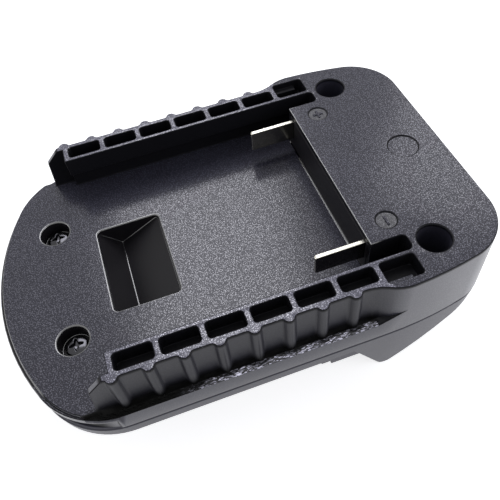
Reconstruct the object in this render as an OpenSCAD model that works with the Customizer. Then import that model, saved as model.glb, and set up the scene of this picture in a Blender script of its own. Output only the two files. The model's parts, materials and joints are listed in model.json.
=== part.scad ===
// Slide-in battery adapter for a cordless tool.
// The dock on top takes a slide pack, the block underneath slides into the tool.
// X runs along the slide with the head at +X, Y across, Z up from the resting face.

/* [Housing] */
// Overall length along the slide
body_len = 114; // [110:0.5:122]
// Overall width over the side walls
body_w = 75; // [73:0.5:79]
// Height of the dock deck above the resting face
deck_z = 26.5; // [26:0.1:29]
// Depth of the parting line below the deck
seam_drop = 6.7; // [6.2:0.1:7.5]
// Depth of the skirt's lower edge below the deck
rim_drop = 10.8; // [10:0.1:11.5]
// Thickness of the shell walls
wall = 2.4; // [2:0.1:2.8]
// Radius of the round nose
nose_r = 60; // [54:1:70]
// Radius that leads the nose into the sides
nose_corner_r = 19; // [16:0.5:21]
// Radius of the barrelled sides of the head
side_r = 95; // [85:1:120]
// Corner radius at the end of the head
tail_corner_r = 13; // [10:0.5:15]
// Inward slope of the lower shell's walls, in degrees
lower_draft = 5; // [3:0.5:6]
// Depth of the groove that shows the parting line
seam_groove = 0.45; // [0.35:0.05:0.6]

/* [Dock] */
// Length of the raised head behind the dock
head_len = 30.2; // [29:0.1:33]
// Height of the rails and the head above the deck
dock_h = 11.4; // [10.8:0.1:12.5]
// Half the gap between the two rail lips
lip_half = 28.75; // [28.3:0.05:29]
// Height of the lip along each rail
lip_h = 5.2; // [4.8:0.1:5.6]
// Depth of the groove under each lip
undercut = 2.9; // [2.4:0.1:3.2]
// Length of the rails in front of the head
rail_len = 60.2; // [59.5:0.1:61]
// Half width over the rails between the ribs
rail_out = 34.9; // [34.7:0.05:35.2]
// Depth of the shelf below the ribs, under the deck
shelf_drop = 1.1; // [0.8:0.1:1.5]
// Step that the deck stands back from the nose edge
deck_step = 0.9; // [0.6:0.1:1.2]
// Length of each side slot into the head
slot_len = 8.1; // [7:0.1:9]
// Half spacing of the inner walls of the side slots
slot_in = 24.65; // [24.5:0.05:25.2]

/* [Rail pockets] */
// Number of cored pockets along each rail
pocket_count = 7; // [5:1:7]
// Pitch of the pockets
pocket_pitch = 9.65; // [9.6:0.05:9.8]
// Length of one pocket
pocket_len = 8.2; // [7:0.1:8.4]
// Width of one pocket
pocket_w = 3.85; // [3:0.05:4]
// Depth of one pocket
pocket_depth = 4; // [3:0.1:4.2]
// Wall between the pockets and the lip edge
pocket_wall = 1.05; // [0.9:0.05:1.3]
// Corner radius of the pockets
pocket_r = 0.8; // [0.4:0.1:1.2]

/* [Grip ribs] */
// Number of ribs on each side
rib_count = 8; // [5:1:8]
// Pitch of the ribs
rib_pitch = 7.36; // [7.1:0.02:7.4]
// Radius of each rib's round crest
rib_r = 1.3; // [1.2:0.05:1.5]
// Height of each rib over the rail's side
rib_h = 1.15; // [0.9:0.05:1.3]
// Radius of the hollow flanks of each rib
rib_hollow = 0.8; // [0.6:0.05:0.9]
// Radius of the hollow foot along the ribs
rib_foot = 1.4; // [1:0.1:1.7]

/* [Latch pocket] */
// Distance of the pocket's far rim from the head wall
catch_far = 57.9; // [57:0.1:59]
// Length of the pocket along the slide
catch_len = 16.1; // [15:0.1:17]
// Width of the pocket across the deck
catch_w = 25.4; // [22:0.1:26]
// Depth of the pocket
catch_depth = 6.7; // [5.5:0.1:7]
// Run of the steep flank of the pocket
catch_steep = 5.1; // [4:0.1:6]
// Corner radius of the pocket's mouth
catch_r = 1.2; // [0.8:0.1:1.6]

/* [Fasteners] */
// Distance of the deck screws from the head wall
deck_screw_x = 68.3; // [67:0.1:69]
// Half spacing of the deck screws
deck_screw_y = 16.5; // [14:0.1:18]
// Radius of the counterbores in the deck
deck_cbore_r = 3.65; // [3.3:0.05:3.8]
// Depth of the deck counterbores
deck_cbore_depth = 3.8; // [3.5:0.1:4]
// Distance of the head screws behind the head wall
head_screw_x = 13.45; // [13.2:0.05:14]
// Half spacing of the head screws
head_screw_y = 28.1; // [27.8:0.1:28.3]
// Radius of the deep bores in the head
head_bore_r = 3.75; // [3.3:0.05:3.8]
// Shank radius of every screw
screw_r = 1.4; // [1.2:0.05:1.5]
// Head radius of every screw
screw_head_r = 2.7; // [2.4:0.05:2.9]
// Head height of every screw
screw_head_h = 1.8; // [1.4:0.1:2]

/* [Terminals] */
// Half spacing of the blades
blade_y = 21.8; // [21.4:0.1:22]
// Reach of the blades in front of the head wall
blade_reach = 12; // [10:0.1:13]
// Height of the blades
blade_h = 5.7; // [5:0.1:6.3]
// Height of the blades' lower edge over the deck
blade_lift = 3.6; // [3:0.1:3.8]
// Thickness of the blades
blade_t = 1; // [0.8:0.05:1.2]
// Half spacing of the tool-side contacts
contact_y = 17; // [16.8:0.1:17.4]
// Thickness of the contact strip
contact_t = 0.6; // [0.5:0.05:0.7]
// Diameter of the leads over their insulation
lead_d = 2.6; // [2.2:0.1:2.6]

/* [Tool slide] */
// Length of the slide block in front of the chin
block_len = 61.5; // [58.5:0.5:63.5]
// Half width of the block's flanges
flange_half = 28.5; // [28:0.1:29]
// Half width of the block's neck
neck_half = 25.8; // [25.6:0.1:26.2]
// Height of the flanges
flange_h = 9; // [8:0.1:9.5]
// Half width of the stops at the end of the flanges
stop_half = 30.8; // [30:0.1:31.2]
// Half width of the shoulders above the stops
shoulder_half = 36; // [35.5:0.1:36.2]
// Half width of the channel along the block
channel_half = 10; // [9.5:0.1:10.2]
// Depth of the channel
channel_depth = 4.5; // [4.2:0.1:4.8]

/* [Release latch] */
// Travel of the latch when its pad is pressed
latch_travel = 4; // [3:0.1:4]
// Clearance round the latch
latch_gap = 0.4; // [0.3:0.05:0.5]
// Half width of the thumb pad
pad_half = 8.8; // [7.5:0.1:9]
// Mean radius of each latch spring
spring_r = 2.4; // [2.2:0.05:2.5]
// Wire diameter of each latch spring
spring_wire = 0.6; // [0.5:0.05:0.7]
// Turns of each latch spring
spring_turns = 6; // [5:1:7]

/* [Hidden] */
$fn = 72;
eps = 0.01;
fit_gap = 0.05;
seat_gap = 0.15;
hole_gap = 0.3;
over = 1;
half_len = body_len / 2;
half_w = body_w / 2;
wall_x = half_len - head_len;
top_z = deck_z + dock_h;
shelf_z = deck_z - shelf_drop;
seam_z = deck_z - seam_drop;
rim_z = deck_z - rim_drop;
deck_t = wall;
floor_t = 2;
nose_groove = deck_step + 0.8;
groove_x1 = 21 - half_len;
groove_z1 = deck_z - 3;
rim_step = 0.6;

// Centres of the outline's arcs, each tangent to its neighbours
nose_c = [-half_len + nose_r, 0];
nose_corner_y = half_w - nose_corner_r;
nose_corner_c = [nose_c.x - sqrt(pow(nose_r - nose_corner_r, 2) - pow(nose_corner_y, 2)), nose_corner_y];
side_c = [wall_x, half_w - side_r];
tail_c_x = half_len - tail_corner_r;
tail_c = [tail_c_x, side_c.y + sqrt(pow(side_r - tail_corner_r, 2) - pow(tail_c_x - side_c.x, 2))];
side_a = atan2(tail_c.y - side_c.y, tail_c.x - side_c.x);
side_steps = 5;

// Rails and their details
rail_x0 = wall_x - rail_len;
lip_z = top_z - lip_h;
pocket_x0 = rail_x0 + 1.4;
pocket_y0 = lip_half + pocket_wall;
foot_sink = 0.2;
rib_c = [0, rib_h - rib_r];
rib_half = sqrt(pow(rib_r + rib_hollow, 2) - pow(rib_hollow - rib_c.y, 2));
rib_a = atan2(rib_hollow - rib_c.y, rib_half);
panel_x0 = rail_x0 - 5.6;
panel_lean = 0.7;
panel_z = deck_z + 8.1;
panel_top_x = rail_x0 - 1.5;
panel_t = 1.4;
rib_x0 = panel_top_x + rib_half + 0.1;

// Smooth sweep from the end of the rail out to the head's side, and the shelf's rise below it
blend_x0 = wall_x - 6;
blend_turn = (90 - side_a) / side_steps;
blend_x1 = side_c.x + side_r * sin(blend_turn);
blend_out = side_c.y + side_r * cos(blend_turn);
blend_rise = blend_out - rail_out;
blend_r = (pow(blend_x1 - blend_x0, 2) + pow(blend_rise, 2)) / (4 * blend_rise);
blend_a = asin((blend_x1 - blend_x0) / 2 / blend_r);
rise_x0 = wall_x - 3.6;
rise_h = 2.6;
slot_r = 1.2;
last_pocket_w = 5.5;
last_step_len = 6.3;
last_step_depth = 1.8;

// Latch pocket in the deck
catch_x0 = wall_x - catch_far;
catch_x1 = catch_x0 + catch_len;
catch_bottom_x = catch_x0 + catch_steep;
catch_wall = 1.6;
catch_lip = 0.7;

// Screws
recess_r = 1.1;
recess_z = 0.7;
head_edge = 0.5;
tip_r = 0.4;
tip_len = 1;
bore_spare = 0.5;

// Inside of the head
head_cavity_half = 23.6;
head_solid_len = 10.5;
seat_web = 2.4;
head_top_t = 1.5;
boss_r = 4.2;
boss_sink = 0.5;
cbore_boss_r = 5.4;
head_tube_r = 5.5;
head_tube_z = seam_z - 3.8;
head_seat_z = head_tube_z + seat_web;
head_screw_end = 6.5;
deck_seat_z = deck_z - deck_cbore_depth;
deck_boss_z = deck_seat_z - seat_web;
deck_screw_end = 5;
mark_depth = 0.3;
mark_r = 2.5;
mark_x = 6.25;
mark_y = 19.6;
gate_r = 3.8;
gate_x = 20.75;

// Blade carrier
carrier_t = 5;
carrier_half = head_cavity_half - seat_gap;
carrier_z0 = deck_z + seat_gap;
carrier_z1 = top_z - head_top_t - seat_gap;
ear_z = deck_z + 4.6;
ear_t = 2;
ear_len = 10;
ear_half = 14;
ear_screw_y = 9;
ear_screw_len = ear_t + 3;
ear_rib = 3;
ear_rib_t = 0.8;
ear_screw_x = wall_x + carrier_t + 6;
ear_boss_r = 3.4;
blade_z0 = deck_z + blade_lift;
blade_chamfer = 1.2;
blade_tail = 9;
barrel_wall = 0.65;
lead_gap = 0.2;
barrel_in = lead_d / 2 + lead_gap;
barrel_out = barrel_in + barrel_wall;
barrel_len = 6;
barrel_y = blade_y - blade_t / 2 - barrel_out + 0.2;
barrel_z = blade_z0 + blade_h / 2;

// Slide block, chin and channel
chin_x = wall_x + 0.9;
chin_flank_run = 8.9;
chin_toe = 2.4;
rake_x0 = chin_x + chin_toe;
rake_x1 = half_len - 1.5;
rake_z1 = seam_z - 1.3;
rake_slope = rake_z1 / (rake_x1 - rake_x0);
rake_a = atan(rake_slope);
chin_x0 = chin_x - chin_flank_run;
flank_a = atan(rim_z / chin_flank_run);
toe_r = chin_toe / (tan(flank_a / 2) + tan(rake_a / 2));
toe_c = [chin_x + toe_r * tan(flank_a / 2), toe_r];
block_x1 = chin_x + 3;
block_x0 = chin_x - block_len;
stop_x0 = chin_x - 14.2;
stop_x1 = chin_x;
shoulder_z = rim_z - 4.8;
channel_roof = channel_depth + floor_t;
channel_x1 = chin_x - 5.5;
block_chamfer = 0.8;
slot_w = 2.6;
slot_run = 14;
slot_h = 9.5;

// Clip holder and contacts
holder_x0 = block_x0 + wall + seat_gap;
holder_x1 = holder_x0 + 18;
holder_plate_z = 10;
holder_plate_t = 2.4;
holder_half = 22.4;
tower_y0 = channel_half + wall + 0.3;
tower_z0 = floor_t + seat_gap;
clip_z0 = floor_t + 1;
clip_h = 6;
clip_len = 13;
clip_half = 2.2;
clip_pinch = 0.35;
clip_mouth = 1.5;
clip_flare = 2.5;
clip_land = 1.5;
clip_root = 3;
clip_lap = 0.5;
tail_half = 1;
clip_x1 = holder_x0 + 14.5;
clip_tail_len = 5;
clip_barrel_x = clip_x1 + clip_tail_len;
clip_barrel_z = clip_z0 + clip_h / 2;
holder_screw_x = holder_x1 - 4.5;
holder_screw_y = 6;
holder_boss_r = 3;

// Leads
strip_set = 0.15;
lead_end_y = contact_y + barrel_out - contact_t / 2 + strip_set;
lead_lap = 1;
lead_shift = 1;
loop_x = wall_x + 17;
loop_r = 6;
knee_x = wall_x - 6;
knee_z = barrel_z - 2 * loop_r - 0.7;
foot_x = wall_x - 24;
foot_z = clip_barrel_z + 2.2;

// Release latch, springs and bridge
window_x0 = rake_x0 + 4.2;
window_len = 14;
pad_x0 = window_x0 + latch_gap;
pad_x1 = window_x0 + window_len - latch_gap;
pad_proud = 1.2;
pad_top = 17;
pad_ribs = 4;
pad_rib_r = 0.7;
pad_margin = 1.5;
arm_half = 6.5;
arm_z0 = channel_roof + 0.3;
arm_t = 3;
hook_x0 = channel_x1 - 6.4;
hook_x1 = channel_x1 - 0.6;
hook_tip_z = 0.8;
hook_lead = 2.8;
hook_land = 1.6;
spring_x = (pad_x0 + pad_x1) / 2;
spring_y = 5;
spring_seat_z = 11.5;
spring_bore_r = spring_r + spring_wire / 2 + 0.4;
bridge_z = 24;
bridge_t = 2;
bridge_half = 16.4;
bridge_len = 9;
bridge_r = 2;
bridge_post_y = 13;
bridge_post_r = 3;
spigot_r = spring_r - spring_wire / 2 - 0.3;
spigot_h = 2.2;
bridge_screw_end = 6;

// Height of the raked underside of the chin at a given X
function rake_z(x) = (x - rake_x0) * rake_slope;

function unit(v) = v / norm(v);

// Points along an arc of the given centre and radius, between two directions in degrees
function arc(c, r, a0, a1, steps) = [for (i = [0:steps])
    let (a = a0 + (a1 - a0) * i / steps) c + r * [cos(a), sin(a)]];

// One side of the housing's plan behind the nose: the barrelled side, then the corner, moved inwards by d
function flank(d) = concat(arc(side_c, side_r - d, 90, side_a, side_steps),
    [for (i = [1:16]) arc(tail_c, tail_corner_r - d, side_a, 0, 16)[i]]);

// A plan that mirrors the given half across the centre line
module mirrored_plan(half) {
    polygon(concat(half, [for (i = [len(half) - 1:-1:0]) if (half[i].y > 0) [half[i].x, -half[i].y]]));
}

// Plan outline of the housing, moved inwards by d
module body_outline(d = 0) {
    nose_a = atan2(nose_corner_c.y, nose_corner_c.x - nose_c.x);
    mirrored_plan(concat(
        [[nose_c.x - nose_r + d, 0]],
        [for (i = [1:8]) arc(nose_c, nose_r - d, 180, nose_a, 8)[i]],
        [for (i = [1:14]) arc(nose_corner_c, nose_corner_r - d, nose_a, 90, 14)[i]],
        flank(d)));
}

// A rectangle with round corners, from corner to corner
module round_rect(x0, y0, x1, y1, r) {
    translate([x0 + r, y0]) square([x1 - x0 - 2 * r, y1 - y0]);
    translate([x0, y0 + r]) square([x1 - x0, y1 - y0 - 2 * r]);
    for (x = [x0 + r, x1 - r], y = [y0 + r, y1 - r]) translate([x, y]) circle(r, $fn = 24);
}

// A box given by its lowest and highest corners
module box(a, b) {
    translate(a) cube(b - a);
}

// A slab between two heights over a plan shape
module slab(z0, z1) {
    translate([0, 0, z0]) linear_extrude(z1 - z0) children();
}

// A profile in X and Z carried across Y from y0 to y1
module across(y0, y1) {
    translate([0, y1, 0]) rotate([90, 0, 0]) linear_extrude(y1 - y0) children();
}

// The same piece on both sides of the centre plane
module both_sides() {
    children();
    mirror([0, 1, 0]) children();
}

// A pan head screw along Z with its seat at z = 0 and its shank below
module screw(shank) {
    rotate_extrude() polygon([[0, recess_z], [recess_r, recess_z], [recess_r, screw_head_h],
        [screw_head_r - head_edge, screw_head_h], [screw_head_r, screw_head_h - head_edge], [screw_head_r, 0],
        [screw_r, 0], [screw_r, tip_len - shank], [tip_r, -shank], [0, -shank]]);
}

// Plan of one rail with its outer ribs
module rail_plan() {
    translate([rail_x0, lip_half]) square([rail_len + slot_len, rail_out - lip_half]);
    for (i = [0:rib_count - 1])
        translate([rib_x0 + i * rib_pitch, rail_out]) rib_plan();
}

// Plan of one rib on a side at y = 0: a round crest that runs out in hollow flanks
module rib_plan() {
    crest = arc(rib_c, rib_r, 180 - rib_a, rib_a, 8);
    polygon(concat([[-rib_half, -foot_sink]],
        arc([-rib_half, rib_hollow], rib_hollow, 270, 360 - rib_a, 4),
        [for (i = [1:7]) crest[i]],
        arc([rib_half, rib_hollow], rib_hollow, 180 + rib_a, 270, 4),
        [[rib_half, -foot_sink]]));
}

// Plan of the head, whose sides sweep in to the rails
module head_plan() {
    mirrored_plan(concat(
        arc([blend_x0, rail_out + blend_r], blend_r, -90, -90 + blend_a, 6),
        [for (i = [1:5]) arc([blend_x1, blend_out - blend_r], blend_r, 90 + blend_a, 90, 6)[i]],
        [for (i = [1:len(flank(0)) - 1]) flank(0)[i]]));
}

// Hollow foot along the outer side of one rail
module rib_feet() {
    x0 = panel_x0 + panel_lean;
    translate([x0, 0, 0]) rotate([90, 0, 90]) linear_extrude(wall_x - x0)
        polygon(concat([[rail_out - foot_sink, shelf_z - foot_sink],
            [rail_out + rib_foot, shelf_z - foot_sink]],
            arc([rail_out + rib_foot, shelf_z + rib_foot], rib_foot, 270, 180, 5),
            [[rail_out - foot_sink, shelf_z + rib_foot]]));
}

// Panel that carries the outer wall on past the end of one rail
module end_panel() {
    across(rail_out - panel_t, rail_out)
        polygon([[panel_x0, deck_z - eps], [rail_x0 + eps, deck_z - eps], [rail_x0 + eps, top_z],
            [panel_top_x, top_z], [panel_x0 + panel_lean, panel_z]]);
}

// Pockets along one rail: cored from the top, the last one wider with a step in its floor
module rail_pockets() {
    for (i = [0:pocket_count - 2])
        slab(top_z - pocket_depth, top_z + over) pocket_plan(i, pocket_w);
    slab(top_z - last_step_depth, top_z + over) pocket_plan(pocket_count - 1, last_pocket_w);
    intersection() {
        slab(top_z - pocket_depth, top_z + over) pocket_plan(pocket_count - 1, last_pocket_w);
        translate([pocket_x0 + (pocket_count - 1) * pocket_pitch, pocket_y0, 0]) {
            box([-over, -over, 0], [pocket_len + over, pocket_w, top_z + over]);
            box([last_step_len, -over, 0], [pocket_len + over, last_pocket_w + over, top_z + over]);
        }
    }
}

// Plan of one rail pocket of the given width
module pocket_plan(i, w) {
    x0 = pocket_x0 + i * pocket_pitch;
    round_rect(x0, pocket_y0, x0 + pocket_len, pocket_y0 + w, pocket_r);
}

// V-shaped latch pocket, grown downwards by a wall
module catch_profile(grow = 0) {
    polygon([[catch_x0 - grow, deck_z + over], [catch_x0 - grow, deck_z - catch_lip],
        [catch_bottom_x, deck_z - catch_depth - grow],
        [catch_x1 + grow, deck_z - catch_lip], [catch_x1 + grow, deck_z + over]]);
}

// Upper shell: deck, rails, head and their bosses
module upper_shell() {
    color([0.16, 0.16, 0.17])
    difference() {
        union() {
            difference() {
                union() {
                    slab(seam_z, shelf_z) body_outline();
                    // Deck between the shelves, stepped back from the nose edge
                    intersection() {
                        slab(shelf_z - eps, deck_z) body_outline();
                        translate([deck_step, 0, 0]) slab(shelf_z - eps, deck_z) body_outline();
                        box([-half_len, -rail_out, shelf_z - eps], [blend_x0 + over, rail_out, deck_z]);
                    }
                    slab(shelf_z - eps, top_z) head_plan();
                    both_sides() slab(shelf_z - eps, top_z) rail_plan();
                    // Rise of the shelf below the sweep, and the hollow feet
                    intersection() {
                        slab(shelf_z - foot_sink, top_z) body_outline();
                        both_sides() {
                            across(rail_out - foot_sink, half_w)
                                polygon([[rise_x0, shelf_z - foot_sink], [blend_x1, shelf_z - foot_sink],
                                    [blend_x1, shelf_z + rise_h]]);
                            rib_feet();
                        }
                    }
                }
                // Dock channel in front of the head
                box([rail_x0, -lip_half, deck_z], [wall_x, lip_half, top_z + over]);
                // Inside of the skirt and of the head
                slab(seam_z - 1, deck_z - deck_t) body_outline(wall);
                intersection() {
                    slab(deck_z - deck_t - eps, top_z - head_top_t) body_outline(wall);
                    union() {
                        box([wall_x - eps, -head_cavity_half, deck_z - deck_t - eps],
                            [half_len, head_cavity_half, top_z - head_top_t]);
                        box([wall_x + head_solid_len, -half_w, deck_z - deck_t - eps],
                            [half_len, half_w, top_z - head_top_t]);
                    }
                }
            }
            // Walls under the latch pocket
            intersection() {
                across(-catch_w / 2 - catch_wall, catch_w / 2 + catch_wall) catch_profile(catch_wall);
                slab(0, deck_z - deck_t + eps) square(body_len, center = true);
            }
            both_sides() {
                end_panel();
                translate([wall_x - deck_screw_x, deck_screw_y, deck_boss_z])
                    cylinder(r = cbore_boss_r, h = deck_z - deck_boss_z - boss_sink);
                translate([wall_x + head_screw_x, head_screw_y, head_tube_z])
                    cylinder(r = head_tube_r, h = top_z - head_tube_z - boss_sink);
                translate([ear_screw_x, ear_screw_y, ear_z + ear_t])
                    cylinder(r = ear_boss_r, h = top_z - head_top_t - ear_z - ear_t + eps);
            }
        }
        intersection() {
            across(-catch_w / 2, catch_w / 2) catch_profile();
            slab(0, top_z) round_rect(catch_x0, -catch_w / 2, catch_x1, catch_w / 2, catch_r);
        }
        // Shadow groove above the parting line, fading out along the sides
        difference() {
            slab(seam_z - over, groove_z1) body_outline(-over);
            translate([nose_groove, 0, 0]) slab(seam_z - 2, deck_z) body_outline();
            box([groove_x1, -half_w - 2, 0], [body_len, half_w + 2, deck_z]);
        }
        both_sides() {
            rail_pockets();
            // Groove under the lip, and the slot that carries it on into the head
            box([rail_x0 - 1, lip_half - eps, deck_z], [wall_x + slot_len, lip_half + undercut, lip_z]);
            slab(deck_z, top_z + over)
                round_rect(wall_x - 2 * slot_r, slot_in, wall_x + slot_len, lip_half, slot_r);
            // Screw bores
            translate([wall_x - deck_screw_x, deck_screw_y, 0]) {
                cylinder(r = screw_r + hole_gap, h = top_z);
                translate([0, 0, deck_seat_z]) cylinder(r = deck_cbore_r, h = dock_h);
            }
            translate([wall_x + head_screw_x, head_screw_y, 0]) {
                cylinder(r = screw_r + hole_gap, h = top_z);
                translate([0, 0, head_seat_z]) cylinder(r = head_bore_r, h = top_z);
            }
            translate([ear_screw_x, ear_screw_y, ear_z])
                cylinder(r = screw_r + fit_gap, h = ear_screw_len + bore_spare);
            // Round marks beside the blades
            translate([wall_x + mark_x, mark_y, top_z - mark_depth]) cylinder(r = mark_r, h = 1);
        }
        translate([wall_x + gate_x, 0, top_z - mark_depth]) cylinder(r = gate_r, h = 1);
    }
}

// Solid form of the chin, drafted inwards towards the bottom
module drafted_body(d = 0) {
    run = seam_z * tan(lower_draft);
    translate([0, 0, seam_z]) mirror([0, 0, 1])
        linear_extrude(seam_z + over, slices = 1, $fn = 0,
            scale = [1 - 2 * run / body_len, 1 - 2 * run / body_w]) body_outline(d);
}

// Side profile of the skirt and the chin with its round toe, moved inwards by d
module chin_profile(d = 0) {
    lift = d / cos(rake_a);
    toe = d == 0 ? arc(toe_c, toe_r, 270 - flank_a, 270 + rake_a, 8)
        : [[chin_x + d * 0.6, d], [rake_x0 + d * 0.4, d]];
    polygon(concat([[-half_len - over, rim_z + d], [chin_x0 + d, rim_z + d]], toe,
        [[rake_x1, rake_z1 + lift], [half_len + over, rake_z1 + lift],
        [half_len + over, seam_z + over], [-half_len - over, seam_z + over]]));
}

// Lower shell: skirt tray, slide block and chin
module lower_shell() {
    color([0.17, 0.17, 0.18])
    difference() {
        union() {
            difference() {
                union() {
                    intersection() {
                        drafted_body();
                        across(-half_w, half_w) chin_profile();
                        slab(-1, seam_z) square(body_len + 2, center = true);
                    }
                    box([block_x0, -neck_half, block_chamfer], [block_x1, neck_half, rim_z + 1]);
                    // Flanges with chamfered edges
                    translate([block_x0, 0, 0]) rotate([90, 0, 90]) linear_extrude(block_x1 - block_x0)
                        polygon([[-flange_half + block_chamfer, 0], [flange_half - block_chamfer, 0],
                            [flange_half, block_chamfer], [flange_half, flange_h - block_chamfer],
                            [flange_half - block_chamfer, flange_h], [-flange_half + block_chamfer, flange_h],
                            [-flange_half, flange_h - block_chamfer], [-flange_half, block_chamfer]]);
                    box([stop_x0, -stop_half, 0], [stop_x1, stop_half, flange_h]);
                    box([stop_x0, -shoulder_half, shoulder_z],
                        [chin_x0 + chin_toe, shoulder_half, rim_z + eps]);
                }
                // Inside of the tray, the block and the chin
                intersection() {
                    drafted_body(wall);
                    across(-half_w, half_w) chin_profile(wall);
                }
                box([block_x0 + wall, -neck_half + wall, floor_t],
                    [block_x1 + 2, neck_half - wall, seam_z + over]);
            }
            // Roof and sides of the channel inside the block
            box([block_x0 + eps, -channel_half - wall, 0.1],
                [channel_x1 + wall, channel_half + wall, channel_roof]);
            both_sides() {
                translate([wall_x - deck_screw_x, deck_screw_y, rim_z + eps])
                    cylinder(r = boss_r, h = deck_boss_z - rim_z - eps);
                intersection() {
                    translate([wall_x + head_screw_x, head_screw_y, 0]) cylinder(r = boss_r, h = head_tube_z);
                    across(0, half_w) chin_profile(boss_sink);
                }
                intersection() {
                    translate([spring_x, bridge_post_y, 0]) cylinder(r = bridge_post_r, h = bridge_z);
                    across(0, half_w) bridge_post_profile();
                }
                translate([holder_screw_x, holder_screw_y, channel_roof - 1])
                    cylinder(r = holder_boss_r, h = holder_plate_z - channel_roof + 1);
            }
        }
        // Channel along the block
        box([block_x0 - 1, -channel_half, -1], [channel_x1, channel_half, channel_depth]);
        // Openings of the latch: hook in the channel's roof, pad in the raked face
        box([hook_x0 - latch_gap, -arm_half - latch_gap, 0],
            [hook_x1 + latch_gap, arm_half + latch_gap, channel_roof + 1]);
        box([window_x0, -pad_half - latch_gap, -1], [window_x0 + window_len, pad_half + latch_gap, seam_z]);
        // Small step round the rim that shows the parting line
        difference() {
            slab(seam_z - rim_step, seam_z + over) body_outline(-over);
            slab(seam_z - over, seam_z + 2 * over) body_outline(seam_groove);
        }
        both_sides() {
            // Contact slots, open to the front and the bottom
            box([block_x0 - over, contact_y - slot_w / 2, -over],
                [block_x0 + slot_run, contact_y + slot_w / 2, slot_h]);
            translate([wall_x - deck_screw_x, deck_screw_y, deck_seat_z - deck_screw_end - bore_spare])
                cylinder(r = screw_r + fit_gap, h = deck_z);
            translate([wall_x + head_screw_x, head_screw_y, head_tube_z - head_screw_end - bore_spare])
                cylinder(r = screw_r + fit_gap, h = deck_z);
            translate([spring_x, bridge_post_y, bridge_z - bridge_screw_end - bore_spare])
                cylinder(r = screw_r + fit_gap, h = deck_z);
            translate([holder_screw_x, holder_screw_y, channel_roof - 1])
                cylinder(r = screw_r + fit_gap, h = deck_z);
        }
    }
}

// Space that a bridge post may fill above the raked wall
module bridge_post_profile() {
    polygon([[rake_x0, boss_sink + rake_z(rake_x0)], [rake_x1, boss_sink + rake_z(rake_x1)],
        [rake_x1, bridge_z + over], [rake_x0, bridge_z + over]]);
}

// Blade carrier: front wall of the head that holds the two blades
module blade_carrier() {
    color([0.1, 0.1, 0.11])
    difference() {
        union() {
            box([wall_x, -carrier_half, carrier_z0], [wall_x + carrier_t, carrier_half, carrier_z1]);
            box([wall_x + carrier_t - eps, -ear_half, ear_z],
                [wall_x + carrier_t + ear_len, ear_half, ear_z + ear_t]);
            for (y = [-ear_half + ear_rib_t, 0, ear_half - ear_rib_t])
                across(y - ear_rib_t, y + ear_rib_t)
                    polygon([[wall_x + carrier_t - eps, ear_z - ear_rib],
                        [wall_x + carrier_t + ear_len - over, ear_z - ear_rib_t],
                        [wall_x + carrier_t + ear_len - over, ear_z + eps],
                        [wall_x + carrier_t - eps, ear_z + eps]]);
        }
        both_sides() {
            box([wall_x - 1, blade_y - blade_t / 2 - fit_gap, blade_z0 - fit_gap],
                [wall_x + carrier_t + 1, blade_y + blade_t / 2 + fit_gap, blade_z0 + blade_h + fit_gap]);
            translate([ear_screw_x, ear_screw_y, ear_z - 1]) cylinder(r = screw_r + hole_gap, h = ear_t + 2);
        }
    }
}

// One blade on the +Y side, rolled into a wire barrel at its rear
module blade() {
    tip = wall_x - blade_reach;
    end = wall_x + blade_tail;
    tip_t = blade_t * 0.2;
    difference() {
        union() {
            intersection() {
                across(blade_y - blade_t / 2, blade_y + blade_t / 2)
                    polygon([[tip, blade_z0 + blade_chamfer * 0.4], [tip + blade_chamfer, blade_z0],
                        [end, blade_z0], [end, blade_z0 + blade_h], [tip + blade_chamfer, blade_z0 + blade_h],
                        [tip, blade_z0 + blade_h - blade_chamfer * 0.6]]);
                slab(deck_z, top_z) polygon([[tip, blade_y - tip_t], [tip + blade_chamfer, blade_y - blade_t],
                    [end + over, blade_y - blade_t], [end + over, blade_y + blade_t],
                    [tip + blade_chamfer, blade_y + blade_t], [tip, blade_y + tip_t]]);
            }
            translate([end - over, barrel_y, barrel_z]) rotate([0, 90, 0])
                cylinder(r = barrel_out, h = barrel_len);
        }
        translate([end - 2 * over, barrel_y, barrel_z]) rotate([0, 90, 0])
            cylinder(r = barrel_in, h = barrel_len + 2 * over);
    }
}

module blade_positive() { color([0.86, 0.86, 0.84]) blade(); }
module blade_negative() { color([0.86, 0.86, 0.84]) mirror([0, 1, 0]) blade(); }

// Two screws from below that hold the carrier to the head
module carrier_screws() {
    color([0.7, 0.7, 0.72])
    both_sides() translate([ear_screw_x, ear_screw_y, ear_z]) mirror([0, 0, 1]) screw(ear_screw_len);
}

// Clip holder: plate over the channel with a slotted tower for each clip
module clip_holder() {
    color([0.12, 0.12, 0.13])
    difference() {
        union() {
            box([holder_x0, -holder_half, holder_plate_z],
                [holder_x1, holder_half, holder_plate_z + holder_plate_t]);
            both_sides() box([holder_x0, tower_y0, tower_z0], [holder_x1, holder_half, holder_plate_z + eps]);
        }
        both_sides() {
            box([holder_x0 - 1, contact_y - clip_half - seat_gap, tower_z0 - 1],
                [clip_x1 + seat_gap, contact_y + clip_half + seat_gap, clip_z0 + clip_h + seat_gap]);
            box([clip_x1 - over, contact_y - tail_half, tower_z0 - over],
                [holder_x1 + over, contact_y + tail_half, clip_z0 + clip_h - tail_half]);
            translate([holder_screw_x, holder_screw_y, 0]) cylinder(r = screw_r + hole_gap, h = deck_z);
        }
    }
}

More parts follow.
